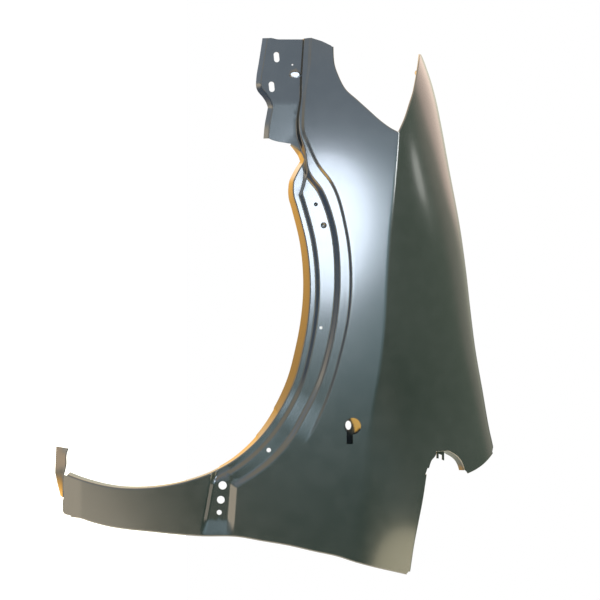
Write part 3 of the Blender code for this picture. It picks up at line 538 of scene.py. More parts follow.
def pressed(x, z):
    """Depth of the finished pressing at a place of the side."""
    angle, radius = polar((x, z))
    bracket = bracket_part(angle)
    fade = smooth_step((CLADDING_END_ANGLE - angle) / CLADDING_FADE_ANGLE)
    step = CLADDING_STEP_DROP * fade
    base = skin(x, z)
    width = cladding_step_width(angle)
    upper = base + step * ramp(cladding_radius(angle) - width / 2 - radius, width, STEP_BEND)

    right_of_pad, left_of_ramp = 1.0, 1.0
    lower = (1 - bracket) * (base + step + band_drop(angle))
    if bracket > 0:
        lower += bracket * bracket_plate(x)
    pad = 0.0
    if x > 0:
        right_of_pad = ramp(z - pad_left(x), PAD_LEFT_RAMP, WALL_BEND)
        left_of_ramp = ramp(pad_right(x) - z, PAD_RIGHT_RAMP, WALL_BEND)
        pad = right_of_pad * left_of_ramp
        if pad > 0:
            lower += (pad_floor(x, z) - lower) * pad
    wall = band_wall_width(angle)
    inside_band = ramp(band_radius(angle) - radius, wall, WALL_BEND)
    if x > 0:
        foot = along(PAD_FOOT_SHARE) + PAD_FOOT_RAMP / 2
        inside_band = max(inside_band * right_of_pad, pad * ramp(foot - x, PAD_FOOT_RAMP, PAD_BEND))
    depth = upper + (lower - upper) * inside_band
    clip = ramp(clip_radius(angle) - radius, CLIP_WALL_WIDTH, STEP_BEND)
    depth += CLIP_WALL_DROP * (1 - bracket) * clip * right_of_pad
    if bracket > 0:
        depth -= bead(x, z)
    return depth


def curve_through(points, step=STATION_STEP):
    """Points along a smooth curve through the given points, no further apart than step."""
    points = np.array(points)
    places = np.concatenate(([0.0], np.cumsum(np.hypot(*np.diff(points, axis=0).T))))
    along_x = smooth_table(list(zip(places, points[:, 0])))
    along_z = smooth_table(list(zip(places, points[:, 1])))
    count = max(int(math.ceil(places[-1] / step)), len(points) - 1)
    return [(along_x(place), along_z(place)) for place in np.linspace(0.0, places[-1], count + 1)]


def straight_through(points, step=STATION_STEP):
    result = [points[0]]
    for start, end in zip(points, points[1:]):
        count = max(int(math.ceil(math.dist(start, end) / step)), 1)
        for index in range(1, count + 1):
            share = index / count
            result.append((start[0] + (end[0] - start[0]) * share, start[1] + (end[1] - start[1]) * share))
    return result


def rounded(points, radius=CORNER_ROUND):
    """The points with each inner corner cut back to a short curve."""
    result = [points[0]]
    for before, corner, after in zip(points, points[1:], points[2:]):
        corner = Vector(corner)
        back, forth = Vector(before) - corner, Vector(after) - corner
        reach = min(radius, back.length * BEND_LIMIT_SHARE, forth.length * BEND_LIMIT_SHARE)
        start, end = corner + back.normalized() * reach, corner + forth.normalized() * reach
        for share in (0.0, 0.25, 0.5, 0.75, 1.0):
            spot = start * (1 - share) ** 2 + corner * 2 * share * (1 - share) + end * share ** 2
            result.append((spot.x, spot.y))
    return straight_through(result + [points[-1]])


def arch_points(radius, start, end, step=STATION_STEP):
    """Points at even spacing of angle along a line round the arch."""
    count = int(math.ceil(math.radians(end - start) * ARCH_RADIUS / step))
    return [on_ray(angle, radius(angle)) for angle in np.linspace(start, end, count + 1)]


def arch_stations():
    """Angles of the arch edge's points, closer at its start and at the joggles of its flange."""
    start = np.arange(ARCH_START_ANGLE, ARCH_CORNER_ANGLE, math.degrees(CORNER_STEP / ARCH_RADIUS))
    rest = np.linspace(ARCH_CORNER_ANGLE, ARCH_END_ANGLE,
                       int(math.radians(ARCH_END_ANGLE - ARCH_CORNER_ANGLE) * ARCH_RADIUS / STATION_STEP))
    angles = [angle for angle in list(start) + list(rest)
              if all(abs(angle - joggle) > JOGGLE_HALF_ANGLE * 2 for joggle in JOGGLE_ANGLES)]
    for joggle in JOGGLE_ANGLES:
        angles += [joggle + share * JOGGLE_HALF_ANGLE for share in (-1.0, -0.5, 0.0, 0.5, 1.0)]
    return sorted(set(float(angle) for angle in angles))


def joggle(angle):
    """The small outward steps of the arch flange, one at each joggle, so far reached."""
    return JOGGLE_STEP * sum(smooth_step((angle - place) / (2 * JOGGLE_HALF_ANGLE) + 0.5)
                             for place in JOGGLE_ANGLES)


def bonnet_points():
    start, end = along(BONNET_START_SHARE), along(BONNET_END_SHARE)
    count = int(math.ceil((end - start) / STATION_STEP))
    return [(float(x), bonnet_height(x)) for x in np.linspace(end, start, count + 1)]


def fork_points():
    """The four corners of the two prongs along the notch edge, from low to high."""
    x, z = scaled([FORK_CENTRE_SHARES])[0]
    near, far = FORK_GAP / 2, FORK_GAP / 2 + FORK_PRONG_WIDTH
    return [(x, z + shift) for shift in (-far, -near, near, far)]


def notch_points():
    """The notch edge from the pillar to the lobe, straight where it carries the fork tab."""
    fork = fork_points()
    start = (fork[0][0], fork[0][1] - FORK_PRONG_WIDTH)
    end = (fork[-1][0], fork[-1][1] + FORK_PRONG_WIDTH)
    low = curve_through(scaled(NOTCH_FRONT_SHARES)[::-1] + [start], CORNER_STEP)
    high = curve_through([end] + scaled(NOTCH_REAR_SHARES)[::-1], CORNER_STEP)
    return low + fork + high


def outline_runs():
    """The edge of the side as named runs in order, each starting where the last one ends."""
    arch = [on_ray(angle, fold_radius(angle)) for angle in arch_stations()]
    foot = scaled(ARM_END_SHARES)[:1] + scaled(ARM_FOOT_SHARES)[::-1] + scaled(DOOR_LINE_SHARES)[-1:]
    bonnet = bonnet_points()
    front = [scaled(LAMP_CURVE_SHARES)[0]] + scaled(FRONT_EDGE_SHARES) + scaled(FRONT_CORNER_SHARES)
    return [
        ("arch", arch),
        ("plain", straight_through([arch[-1], scaled(ARM_END_SHARES)[-1]])),
        ("sill", curve_through(scaled(ARM_END_SHARES)[::-1])),
        ("plain", rounded(foot)),
        ("door", curve_through(scaled(DOOR_LINE_SHARES)[::-1])),
        ("plain", [scaled(DOOR_LINE_SHARES)[0], scaled(PILLAR_SHARES)[-1]]),
        ("pillar", curve_through(scaled(PILLAR_SHARES)[::-1])),
        ("plain", [scaled(PILLAR_SHARES)[0], scaled(NOTCH_FRONT_SHARES)[-1]]),
        ("notch", notch_points()),
        ("plain", [scaled(NOTCH_REAR_SHARES)[0], scaled(LOBE_SHARES)[-1]]),
        ("lobe", curve_through(scaled(LOBE_SHARES)[::-1], LOBE_STEP)),
        ("plain", [scaled(LOBE_SHARES)[0], bonnet[0]]),
        ("bonnet", bonnet),
        ("plain", rounded([bonnet[-1]] + scaled(HORN_TIP_SHARES)[::-1] + scaled(HORN_CURVE_SHARES)[-1:])),
        ("lamp", curve_through(scaled(HORN_CURVE_SHARES)[::-1])),
        ("plain", [scaled(HORN_CURVE_SHARES)[0], scaled(LAMP_CURVE_SHARES)[-1]]),
        ("lamp", curve_through(scaled(LAMP_CURVE_SHARES)[::-1])),
        ("plain", rounded(front + scaled(LIP_LINE_SHARES)[:1])),
        ("lip", curve_through(scaled(LIP_LINE_SHARES), CORNER_STEP)),
        ("plain", rounded(scaled(LIP_LINE_SHARES)[-1:] + scaled(BRACKET_FOOT_SHARES) + arch[:1])),
    ]


def wall_offsets(width, bend):
    """Where the mesh needs rows across a wall: the ends and middle of each of its two bends."""
    bend = min(bend, width * BEND_LIMIT_SHARE)
    return [side * width / 2 + shift for side in (-1, 1) for shift in (-bend, 0.0, bend)]


def pressed_lines():
    """Lines along which the sheet bends, each a list of points, which may run past the edge."""
    start = polar(scaled(VALLEY_SHARES)[0])[0]
    pad_angle = polar(scaled(PAD_RIGHT_SHARES)[0])[0]
    lines = []
    for row in range(6):
        lines.append(arch_points(lambda a: band_radius(a) + wall_offsets(band_wall_width(a), WALL_BEND)[row],
                                 start, pad_angle, LINE_STEP))
        lines.append(arch_points(lambda a: clip_radius(a) + wall_offsets(CLIP_WALL_WIDTH, STEP_BEND)[row],
                                 CLIP_MERGE_SHARES[0][0], pad_angle, LINE_STEP))
        lines.append(arch_points(lambda a: cladding_radius(a) - cladding_step_width(a) / 2
                                 + wall_offsets(cladding_step_width(a), STEP_BEND)[row],
                                 polar(scaled(RIDGE_SHARES)[0])[0], CLADDING_END_ANGLE, LINE_STEP))
    edge = pad_end() + OVERRUN
    near = on_ray(polar(pad_centre())[0], fold_radius(polar(pad_centre())[0]))[0] - OVERRUN
    for height, width in ((pad_left, PAD_LEFT_RAMP), (pad_right, PAD_RIGHT_RAMP)):
        for shift in wall_offsets(width, WALL_BEND):
            ends = [(near, height(near) + shift), (edge, height(edge) + shift)]
            lines.append(straight_through(ends, LINE_STEP))
    x_0, z_0 = scaled([BEAD_SHARES])[0]
    for share in BEAD_RING_SHARES:
        turns = np.linspace(0.0, 2 * math.pi, HOLE_STEPS + 1)
        lines.append([(x_0 + BEAD_HALF_WIDTH * share * math.cos(turn),
                       z_0 + BEAD_HALF_LENGTH * share * math.sin(turn)) for turn in turns])
    bend = up(ARM_BEND_SHARE)
    reach = along(ARM_END_SHARES[0][0]) + OVERRUN
    for shift in (-ARM_BEND_ROUND, 0.0, ARM_BEND_ROUND):
        ends = [(reach - 2 * ARCH_FLANGE_DEPTH, bend + shift), (edge, bend + shift)]
        lines.append(straight_through(ends, LINE_STEP))
    fold = along(BRACKET_FOLD_SHARE)
    for shift in (-PLATE_BEND, 0.0, PLATE_BEND):
        ends = [(fold + shift, up(share)) for share in BRACKET_FOLD_SPAN_SHARES]
        lines.append(straight_through(ends, LINE_STEP))
    return lines


def shoulder_lines():
    """Rows along the crease, through its bend, and along the bonnet line, where the roll tightens."""
    start, end = along(BONNET_LINE_SHARES[0][0]), along(DOOR_LINE_SHARES[0][0])
    count = int(math.ceil((end - start) / STATION_STEP))
    places = [float(x) for x in np.linspace(start, end, count + 1)]
    lines = [[(x, crease_height(x) + share * crease_bend(x)) for x in places]
             for share in (-1, -0.5, 0, 0.5, 1)]
    for share in SHOULDER_LINE_SHARES:
        lines.append([(x, crease_height(x) + share * (bonnet_height(x) - crease_height(x))) for x in places])
    return lines


def ring(centre, diameter, steps=HOLE_STEPS):
    turns = [2 * math.pi * index / steps for index in range(steps)]
    return [(centre[0] + diameter / 2 * math.cos(turn), centre[1] + diameter / 2 * math.sin(turn))
            for turn in turns]


def slot(centre, width, length, lean):
    """A slot with round ends that runs along X, leaning towards Z."""
    half = (length - width) / 2
    points = []
    for end in (1, -1):
        for index in range(HOLE_STEPS // 2 + 1):
            turn = math.pi * (index / (HOLE_STEPS // 2) - 0.5) + (0 if end > 0 else math.pi)
            points.append((end * half + width / 2 * math.cos(turn), width / 2 * math.sin(turn)))
    return [(centre[0] + x - lean * z, centre[1] + z + lean * x) for x, z in points]


def keyhole():
    """The repeater lamp's hole: round, with a slot towards the rear."""
    x_0, z_0 = scaled([REPEATER_SHARES])[0]
    radius = REPEATER_DIAMETER / 2
    sides = (REPEATER_SLOT_SHIFT + REPEATER_SLOT_WIDTH / 2, REPEATER_SLOT_SHIFT - REPEATER_SLOT_WIDTH / 2)
    first, last = (math.asin(side / radius) for side in sides)
    sweep = 2 * math.pi + last - first
    points = []
    for index in range(2 * HOLE_STEPS + 1):
        turn = first + sweep * index / (2 * HOLE_STEPS)
        points.append((x_0 + radius * math.cos(turn), z_0 + radius * math.sin(turn)))
    points.append((x_0 + REPEATER_SLOT_REACH, z_0 + sides[1]))
    points.append((x_0 + REPEATER_SLOT_REACH, z_0 + sides[0]))
    return points


def pad_hole_places():
    """The pad's holes lie along its middle, between the arch fold and the door edge."""
    angle = polar(pad_centre())[0]
    near = fold_radius(angle) * math.sin(math.radians(angle))
    places = []
    for share in PAD_HOLE_SHARES:
        x = near + (pad_end() - near) * share
        places.append((x, (pad_left(x) + pad_right(x)) / 2))
    return places


def clip_hole_places():
    """The clip holes lie along the low shelf between the clip wall and the band."""
    places = []
    for angle, share in zip(CLIP_HOLE_ANGLES, CLIP_HOLE_SHARES):
        low = clip_radius(angle) + CLIP_WALL_WIDTH / 2
        high = band_radius(angle) - band_wall_width(angle) / 2
        places.append(on_ray(angle, low + (high - low) * share))
    return places


def hole_loops():
    loops = [keyhole()]
    for place in scaled(SLOT_PLACE_SHARES):
        loops.append(slot(place, SLOT_WIDTH, SLOT_LENGTH, SLOT_LEAN))
    loops.append(ring(scaled([PIN_HOLE_SHARES])[0], PIN_HOLE_DIAMETER, HOLE_STEPS // 2))
    for place, diameter in zip(pad_hole_places(), PAD_HOLE_DIAMETERS):
        loops.append(ring(place, diameter))
    for place, diameter in zip(clip_hole_places(), CLIP_HOLE_DIAMETERS):
        loops.append(ring(place, diameter))
    return loops


def inside(points, polygon):
    """Which of the points lie in the polygon."""
    x, z = np.array(points).T
    result = np.zeros(len(x), dtype=bool)
    for (x_0, z_0), (x_1, z_1) in zip(polygon, polygon[1:] + polygon[:1]):
        if z_0 != z_1:
            result ^= ((z_0 > z) != (z_1 > z)) & (x < (x_1 - x_0) * (z - z_0) / (z_1 - z_0) + x_0)
    return result


def grid_points(outline, taken):
    """Points that fill the side between its lines, in staggered rows."""
    tree = kdtree.KDTree(len(taken))
    for index, (x, z) in enumerate(taken):
        tree.insert((x, z, 0.0), index)
    tree.balance()
    low, high = np.array(outline).min(axis=0), np.array(outline).max(axis=0)
    rise = GRID_STEP * math.sqrt(3) / 2
    points = []
    for row in range(int((high[1] - low[1]) / rise) + 1):
        for column in range(int((high[0] - low[0]) / GRID_STEP) + 1):
            points.append((float(low[0] + (column + 0.5 * (row % 2)) * GRID_STEP),
                           float(low[1] + row * rise)))
    kept = [point for point, within in zip(points, inside(points, outline)) if within]
    return [(x, z) for x, z in kept if tree.find((x, z, 0.0))[2] > LINE_CLEARANCE_SHARE * GRID_STEP]


def flat_blank():
    """The side as triangles in the plane, with the run that each edge belongs to."""
    points, names = [], []
    for name, run in outline_runs():
        for point in run[:-1]:
            points.append(point)
            names.append(name)
    outline = list(points)
    edges = [(index, (index + 1) % len(points)) for index in range(len(points))]
    holes = hole_loops()
    for loop in holes:
        first = len(points)
        points += loop
        edges += [(first + index, first + (index + 1) % len(loop)) for index in range(len(loop))]
    for line in pressed_lines() + shoulder_lines():
        first = len(points)
        points += line
        edges += [(first + index, first + index + 1) for index in range(len(line) - 1)]
    points += grid_points(outline, points)
    verts, cdt_edges, faces, _, sources, _ = delaunay_2d_cdt(points, edges, [], 0, WELD_DISTANCE)
    centres = [tuple(sum(verts[index][axis] for index in face) / len(face) for axis in (0, 1))
               for face in faces]
    keep = inside(centres, outline)
    for loop in holes:
        keep &= ~inside(centres, loop)
    runs = {}
    for edge, parents in zip(cdt_edges, sources):
        for parent in parents:
            if parent < len(names):
                runs[frozenset(edge)] = names[parent]
    return verts, [face for face, kept in zip(faces, keep) if kept], runs


def chains(mesh, runs, name):
    """The open edges of one run as ordered corner points, with the side on their left."""
    onward = {}
    for edge in mesh.edges:
        if edge.is_boundary and runs.get(frozenset(corner.index for corner in edge.verts)) == name:
            loop = edge.link_loops[0]
            onward[loop.vert] = loop.link_loop_next.vert
    ends = set(onward.values())
    result = []
    for start in sorted((corner for corner in onward if corner not in ends), key=lambda corner: corner.index):
        chain = [start]
        while chain[-1] in onward:
            chain.append(onward[chain[-1]])
        result.append(chain)
    return result


def outward_normals(chain):
    """Directions in the X-Z plane that point out of the side, to the right of the chain."""
    spots = np.array([(corner.co.x, corner.co.z) for corner in chain])
    legs = np.diff(spots, axis=0)
    legs /= np.linalg.norm(legs, axis=1)[:, None]
    run = np.vstack([legs[:1], legs[1:] + legs[:-1], legs[-1:]])
    run /= np.linalg.norm(run, axis=1)[:, None]
    return np.stack([run[:, 1], -run[:, 0]], axis=1)


def turn_flange(mesh, chain, profiles):
    """Rows of faces from an open edge; a profile lists one corner point's shifts row by row."""
    rows = [chain]
    for row in range(len(profiles[0])):
        before = rows[-1]
        after = [mesh.verts.new(corner.co + profile[row]) for corner, profile in zip(chain, profiles)]
        for index in range(len(chain) - 1):
            mesh.faces.new([before[index + 1], before[index], after[index], after[index + 1]])
        rows.append(after)
    return rows


def bend_rows(turn):
    """Places along a bend of the given turn: how far onward, and how far across."""
    turns = [turn * index / FOLD_STEPS for index in range(1, FOLD_STEPS + 1)]
    return [(FOLD_RADIUS * math.sin(angle), FOLD_RADIUS * (1 - math.cos(angle))) for angle in turns]


def notch_splay_share(radius):
    """The notch flange leans into the notch on its rear side only."""
    start, end = NOTCH_SPLAY_RADII
    return smooth_step((radius - start) / (end - start))


def side_flange(mesh, chain, splay, depth):
    """A flange turned inboard with a tight fold; splay and depth follow the place about the wheel."""
    profiles = []
    for corner, (out_x, out_z) in zip(chain, outward_normals(chain)):
        place = polar((corner.co.x, corner.co.z))
        lean = splay(*place)
        tip = (FOLD_RADIUS + lean, depth(*place))
        rows = bend_rows(math.atan2(tip[1] - FOLD_RADIUS, lean))
        root = rows[-1]
        rows += [(root[0] + (tip[0] - root[0]) * share, root[1] + (tip[1] - root[1]) * share)
                 for share in FLANGE_ROW_SHARES]
        profiles.append([Vector((out_x * away, inboard, out_z * away)) for away, inboard in rows])
    return turn_flange(mesh, chain, profiles)


def fork_tab(mesh, chain, tips):
    """Two short prongs that point rearward from the notch flange."""
    spots = [(corner.co.x, corner.co.z) for corner in chain]
    first = min(range(len(spots)), key=lambda index: math.dist(spots[index], fork_points()[0]))
    root = tips[first:first + len(fork_points())]
    base = [mesh.verts.new(corner.co + Vector((FORK_TAB_LENGTH, 0.0, 0.0))) for corner in root]
    ends = [mesh.verts.new(corner.co + Vector((FORK_PRONG_LENGTH, 0.0, 0.0))) for corner in base]
    for index in range(len(root) - 1):
        mesh.faces.new([root[index + 1], root[index], base[index], base[index + 1]])
    for index in range(0, len(root) - 1, 2):
        mesh.faces.new([base[index + 1], base[index], ends[index], ends[index + 1]])


def sill_tab(mesh, rows):
    """The tab that carries the sill flange on past the arm, towards the wheel."""
    reach = (rows[0][0].co - rows[0][1].co).normalized() * SILL_TAB_LENGTH
    root = [row[0] for row in rows]
    near, far = root[0].co.y, root[-1].co.y
    before = root
    flare = smooth_table(((0.0, 0.0),) + SILL_TAB_SHARES)
    for share in np.linspace(0.0, 1.0, TAB_ROWS + 1)[1:]:
        after = []
        for corner in root:
            rise = SILL_TAB_FLARE * flare(share) * (far - corner.co.y) / (far - near)
            after.append(mesh.verts.new(corner.co + reach * float(share) + Vector((0.0, 0.0, rise))))
        for index in range(len(root) - 1):
            mesh.faces.new([before[index], after[index], after[index + 1], before[index + 1]])
        before = after


def bonnet_rows():
    """Down from the bonnet line, then inboard along the ledge: inboard and downward places."""
    foot = BONNET_WALL_DEPTH
    quarter = bend_rows(math.pi / 2)
    rows = list(quarter)
    rows += [(FOLD_RADIUS, FOLD_RADIUS + (foot - 2 * FOLD_RADIUS) * share) for share in FLANGE_ROW_SHARES]
    rows += [(FOLD_RADIUS + across, foot - FOLD_RADIUS + onward) for onward, across in quarter]
    start = rows[-1][0]
    return rows + [(start + (FOLD_RADIUS + BONNET_LEDGE_WIDTH - start) * share, foot)
                   for share in LEDGE_ROW_SHARES]


def origin():
    """The middle of the front mounting flange, seen from the wheel centre."""
    x, z = scaled([SEAT_SHARES])[0]
    return Vector((x, pressed(x, z), z))


def ledge_middle(x):
    """The middle of the bonnet ledge, seen from the wheel centre."""
    z = bonnet_height(x)
    across = (2 * FOLD_RADIUS + FOLD_RADIUS + BONNET_LEDGE_WIDTH) / 2
    return Vector((x, pressed(x, z) + across, z - BONNET_WALL_DEPTH))


def raise_sheet(verts, faces, runs):
    """The flat blank brought to its pressed form, with every flange turned."""
    mesh = bmesh.new()
    for x, z in verts:
        mesh.verts.new((x, pressed(x, z), z))
    mesh.verts.ensure_lookup_table()
    mesh.verts.index_update()
    for face in faces:
        mesh.faces.new([mesh.verts[index] for index in face])
    flanges = {
        "arch": (lambda angle, radius: ARCH_FLANGE_DEPTH * splay_share(angle) - joggle(angle),
                 lambda angle, radius: ARCH_FLANGE_DEPTH * flange_start(angle)),
        "sill": (lambda angle, radius: SILL_FLANGE_SPLAY * sill_splay_share(angle),
                 lambda angle, radius: SILL_FLANGE_DEPTH),
        "door": (lambda angle, radius: 0.0, lambda angle, radius: DOOR_FLANGE_DEPTH),
        "pillar": (lambda angle, radius: 0.0, lambda angle, radius: DOOR_FLANGE_DEPTH),
        "notch": (lambda angle, radius: NOTCH_FLANGE_SPLAY * notch_splay_share(radius),
                  lambda angle, radius: NOTCH_FLANGE_DEPTH),
        "lobe": (lambda angle, radius: 0.0, lambda angle, radius: DOOR_FLANGE_DEPTH),
        "lamp": (lambda angle, radius: 0.0, lambda angle, radius: LAMP_FLANGE_DEPTH),
        "lip": (lambda angle, radius: LIP_SPLAY, lambda angle, radius: LIP_DEPTH),
    }
    found = {name: chains(mesh, runs, name) for name in list(flanges) + ["bonnet"]}
    for name, (splay, depth) in flanges.items():
        for chain in found[name]:
            rows = side_flange(mesh, chain, splay, depth)
            if name == "notch":
                fork_tab(mesh, chain, rows[-1])
            if name == "sill":
                sill_tab(mesh, rows)
    profile = [Vector((0.0, inboard, -down)) for inboard, down in bonnet_rows()]
    for chain in found["bonnet"]:
        turn_flange(mesh, chain, [profile] * len(chain))
    for corner in [corner for corner in mesh.verts if not corner.link_faces]:
        mesh.verts.remove(corner)
    marks = mesh.verts.layers.int.new(HOLE_MARK)
    for share in BONNET_HOLE_SHARES:
        mesh.verts.new(ledge_middle(along(share)))[marks] = 1
    bmesh.ops.translate(mesh, vec=-origin(), verts=mesh.verts)
    return mesh


class Value:
    """A number or colour that a node gives, which can be used in plain sums."""

    def __init__(self, graph, socket):
        self.graph, self.socket = graph, socket

    def sum_with(self, operation, first, second):
        return self.graph.value("ShaderNodeMath", {"operation": operation}, {0: first, 1: second}, "Value")

    def __add__(self, other):
        return self.sum_with("ADD", self, other)

    def __sub__(self, other):
        return self.sum_with("SUBTRACT", self, other)

    def __mul__(self, other):
        return self.sum_with("MULTIPLY", self, other)

    def __truediv__(self, other):
        return self.sum_with("DIVIDE", self, other)

    def __pow__(self, other):
        return self.sum_with("POWER", self, other)

    def __gt__(self, other):
        return self.sum_with("GREATER_THAN", self, other)

    def __radd__(self, other):
        return self.sum_with("ADD", other, self)

    def __rsub__(self, other):
        return self.sum_with("SUBTRACT", other, self)

    def __rmul__(self, other):
        return self.sum_with("MULTIPLY", other, self)

    def __rtruediv__(self, other):
        return self.sum_with("DIVIDE", other, self)


class Graph:
    """A node tree that is written one call per node."""

    def __init__(self, tree):
        self.tree = tree
        tree.nodes.clear()

    def node(self, kind, settings=None, inputs=None):
        node = self.tree.nodes.new(kind)
        for name, setting in (settings or {}).items():
            setattr(node, name, setting)
        for key, given in (inputs or {}).items():
            for entry in given if isinstance(given, list) else [given]:
                if isinstance(entry, Value):
                    self.tree.links.new(entry.socket, node.inputs[key])
                else:
                    node.inputs[key].default_value = entry
        return node

    def value(self, kind, settings=None, inputs=None, output=0):
        return Value(self, self.node(kind, settings, inputs).outputs[output])

    def noise(self, place, scale, detail, output="Fac"):
        inputs = {"Vector": place, "Scale": scale, "Detail": detail}
        return self.value("ShaderNodeTexNoise", {}, inputs, output)

    def mix(self, share, first, second):
        """A blend of two colours."""
        settings = {"data_type": "RGBA", "clamp_factor": True}
        return self.value("ShaderNodeMix", settings, {0: share, 6: first, 7: second}, 2)

    def between(self, given, low, high):
        """The value as a share of the way from low to high, clamped to 0 and 1."""
        inputs = {"Value": given, "From Min": low, "From Max": high}
        return self.value("ShaderNodeMapRange", {"interpolation_type": "SMOOTHSTEP"}, inputs, "Result")


def primer_material(settings):
    """Dark dip primer: satin black with a faint cloudiness and a fine orange peel."""
    material = bpy.data.materials.new(PAINT_SLOT)
    material.use_nodes = True
    graph = Graph(material.node_tree)
    place = graph.value("ShaderNodeTexCoord", {}, {}, "Object")
    cloud = graph.between(graph.noise(place, *CLOUD_NOISE), *NOISE_RANGE)
    film = graph.between(graph.noise(place, *FILM_NOISE), *NOISE_RANGE)
    peel = graph.noise(place, *PEEL_NOISE)
    low, high = tuple(settings.low_colour) + (1.0,), tuple(settings.high_colour) + (1.0,)
    colour = graph.mix(cloud * CLOUD_TONE + film * FILM_TONE, low, high)
    roughness = settings.roughness + (cloud - 0.5) * CLOUD_GLOSS + (film - 0.5) * FILM_GLOSS
    bump = graph.value("ShaderNodeBump", {}, {
        "Strength": settings.peel, "Distance": PEEL_DISTANCE, "Height": peel}, "Normal")
    shader = graph.value("ShaderNodeBsdfPrincipled", {}, {
        "Base Color": colour, "Roughness": roughness, "Normal": bump, "IOR": settings.gloss,
        "Coat Weight": settings.coat, "Coat Roughness": settings.coat_roughness}, "BSDF")
    graph.node("ShaderNodeOutputMaterial", {}, {"Surface": shader})
    return material


def named_tree(name, sockets):
    """A new node tree with a geometry in and out and the named inputs, its graph and its inputs by name."""
    tree = bpy.data.node_groups.new(name, "GeometryNodeTree")
    tree.interface.new_socket("Geometry", in_out="INPUT", socket_type="NodeSocketGeometry")
    for label, kind in sockets:
        tree.interface.new_socket(label, in_out="INPUT", socket_type="NodeSocket" + kind)
    tree.interface.new_socket("Geometry", in_out="OUTPUT", socket_type="NodeSocketGeometry")
    graph = Graph(tree)
    given = graph.node("NodeGroupInput").outputs
    labels = ["Geometry"] + [label for label, _ in sockets]
    return tree, graph, {label: Value(graph, given[label]) for label in labels}


def thickened(graph, sheet, thickness):
    """A closed shell from an open sheet, which grows inboard."""
    inner = graph.value("GeometryNodeExtrudeMesh", {"mode": "FACES"}, {
        "Mesh": sheet, "Offset Scale": 0.0 - thickness, "Individual": False}, "Mesh")
    inner = graph.value("GeometryNodeFlipFaces", {}, {"Mesh": inner}, "Mesh")
    shell = graph.value("GeometryNodeJoinGeometry", {}, {"Geometry": [inner, sheet]}, "Geometry")
    return graph.value("GeometryNodeMergeByDistance", {},
                       {"Geometry": shell, "Distance": MERGE_DISTANCE}, "Geometry")


def finish_tree(graph, shape, known):
    """Smooth shading with sharp edges, real geometry and the paint, as the tree's result."""
    smooth = graph.value("GeometryNodeSetShadeSmooth", {"domain": "FACE"},
                         {"Geometry": shape, "Shade Smooth": True}, "Geometry")
    angle = graph.value("GeometryNodeInputMeshEdgeAngle", {}, {}, "Unsigned Angle")
    sharp = graph.value("GeometryNodeSetShadeSmooth", {"domain": "EDGE"}, {
        "Geometry": smooth, "Selection": angle > known["Sharp Angle"], "Shade Smooth": False}, "Geometry")
    whole = graph.value("GeometryNodeRealizeInstances", {}, {"Geometry": sharp}, "Geometry")
    painted = graph.value("GeometryNodeSetMaterial", {},
                          {"Geometry": whole, "Material": known["Paint"]}, "Geometry")
    graph.node("NodeGroupOutput", {}, {"Geometry": painted})


def sheet_tree():
    """Node tree that gives a thin sheet its thickness and cuts its bolt holes."""
    tree, graph, known = named_tree("Pressed Sheet", (
        ("Thickness", "Float"), ("Hole Radius", "Float"), ("Cutter Length", "Float"),
        ("Sharp Angle", "Float"), ("Paint", "Material")))
    mark = graph.value("GeometryNodeInputNamedAttribute", {"data_type": "INT"},
                       {"Name": HOLE_MARK}, "Attribute")
    parts = graph.node("GeometryNodeSeparateGeometry", {"domain": "POINT"},
                       {"Geometry": known["Geometry"], "Selection": mark}).outputs
    marks, sheet = Value(graph, parts["Selection"]), Value(graph, parts["Inverted"])
    rod = graph.value("GeometryNodeMeshCylinder", {}, {"Vertices": HOLE_STEPS, "Radius": known["Hole Radius"],
                                                       "Depth": known["Cutter Length"]}, "Mesh")
    rods = graph.value("GeometryNodeInstanceOnPoints", {}, {"Points": marks, "Instance": rod}, "Instances")
    rods = graph.value("GeometryNodeRealizeInstances", {}, {"Geometry": rods}, "Geometry")
    shell = thickened(graph, sheet, known["Thickness"])
    cut = graph.value("GeometryNodeMeshBoolean", {"operation": "DIFFERENCE", "solver": "EXACT"},
                      {"Mesh 1": shell, "Mesh 2": rods}, "Mesh")
    finish_tree(graph, cut, known)
    return tree


def apply_tree(piece, tree, values):
    """Runs a node tree on a piece and keeps its result as a plain mesh."""
    modifier = piece.modifiers.new(tree.name, "NODES")
    modifier.node_group = tree
    for socket in tree.interface.items_tree:
        if socket.in_out == "INPUT" and socket.name in values:
            modifier[socket.identifier] = values[socket.name]
    bpy.context.view_layer.update()
    shaped = piece.evaluated_get(bpy.context.evaluated_depsgraph_get())
    result = bpy.data.meshes.new_from_object(shaped)
    piece.modifiers.remove(modifier)
    piece.data = result
    if not len(result.polygons):
        raise RuntimeError("The tree " + tree.name + " gave an empty mesh")


def true_normal(x, z):
    """The direction that the pressed form faces, towards the outside of the car."""
    step = NORMAL_STEP
    return Vector((pressed(x + step, z) - pressed(x - step, z), -2 * step,
                   pressed(x, z + step) - pressed(x, z - step))).normalized()


def smooth_normals(data):
    """Gives the outer face the normals of its true form, so that reflections run clean."""
    start = origin()
    normals = {}
    for corner in data.vertices:
        spot = corner.co + start
        if abs(spot.y - pressed(spot.x, spot.z)) < NORMAL_REACH:
            normals[corner.index] = true_normal(spot.x, spot.z)
    given = [Vector((0, 0, 0))] * len(data.loops)
    limit = math.cos(math.radians(NORMAL_LIMIT_ANGLE))
    for face in data.polygons:
        for loop, corner in zip(face.loop_indices, face.vertices):
            normal = normals.get(corner)
            if normal and normal.dot(face.normal) > limit:
                given[loop] = normal
    data.normals_split_custom_set(given)


def linked(name, data):
    piece = bpy.data.objects.new(name, data)
    bpy.context.scene.collection.objects.link(piece)
    return piece


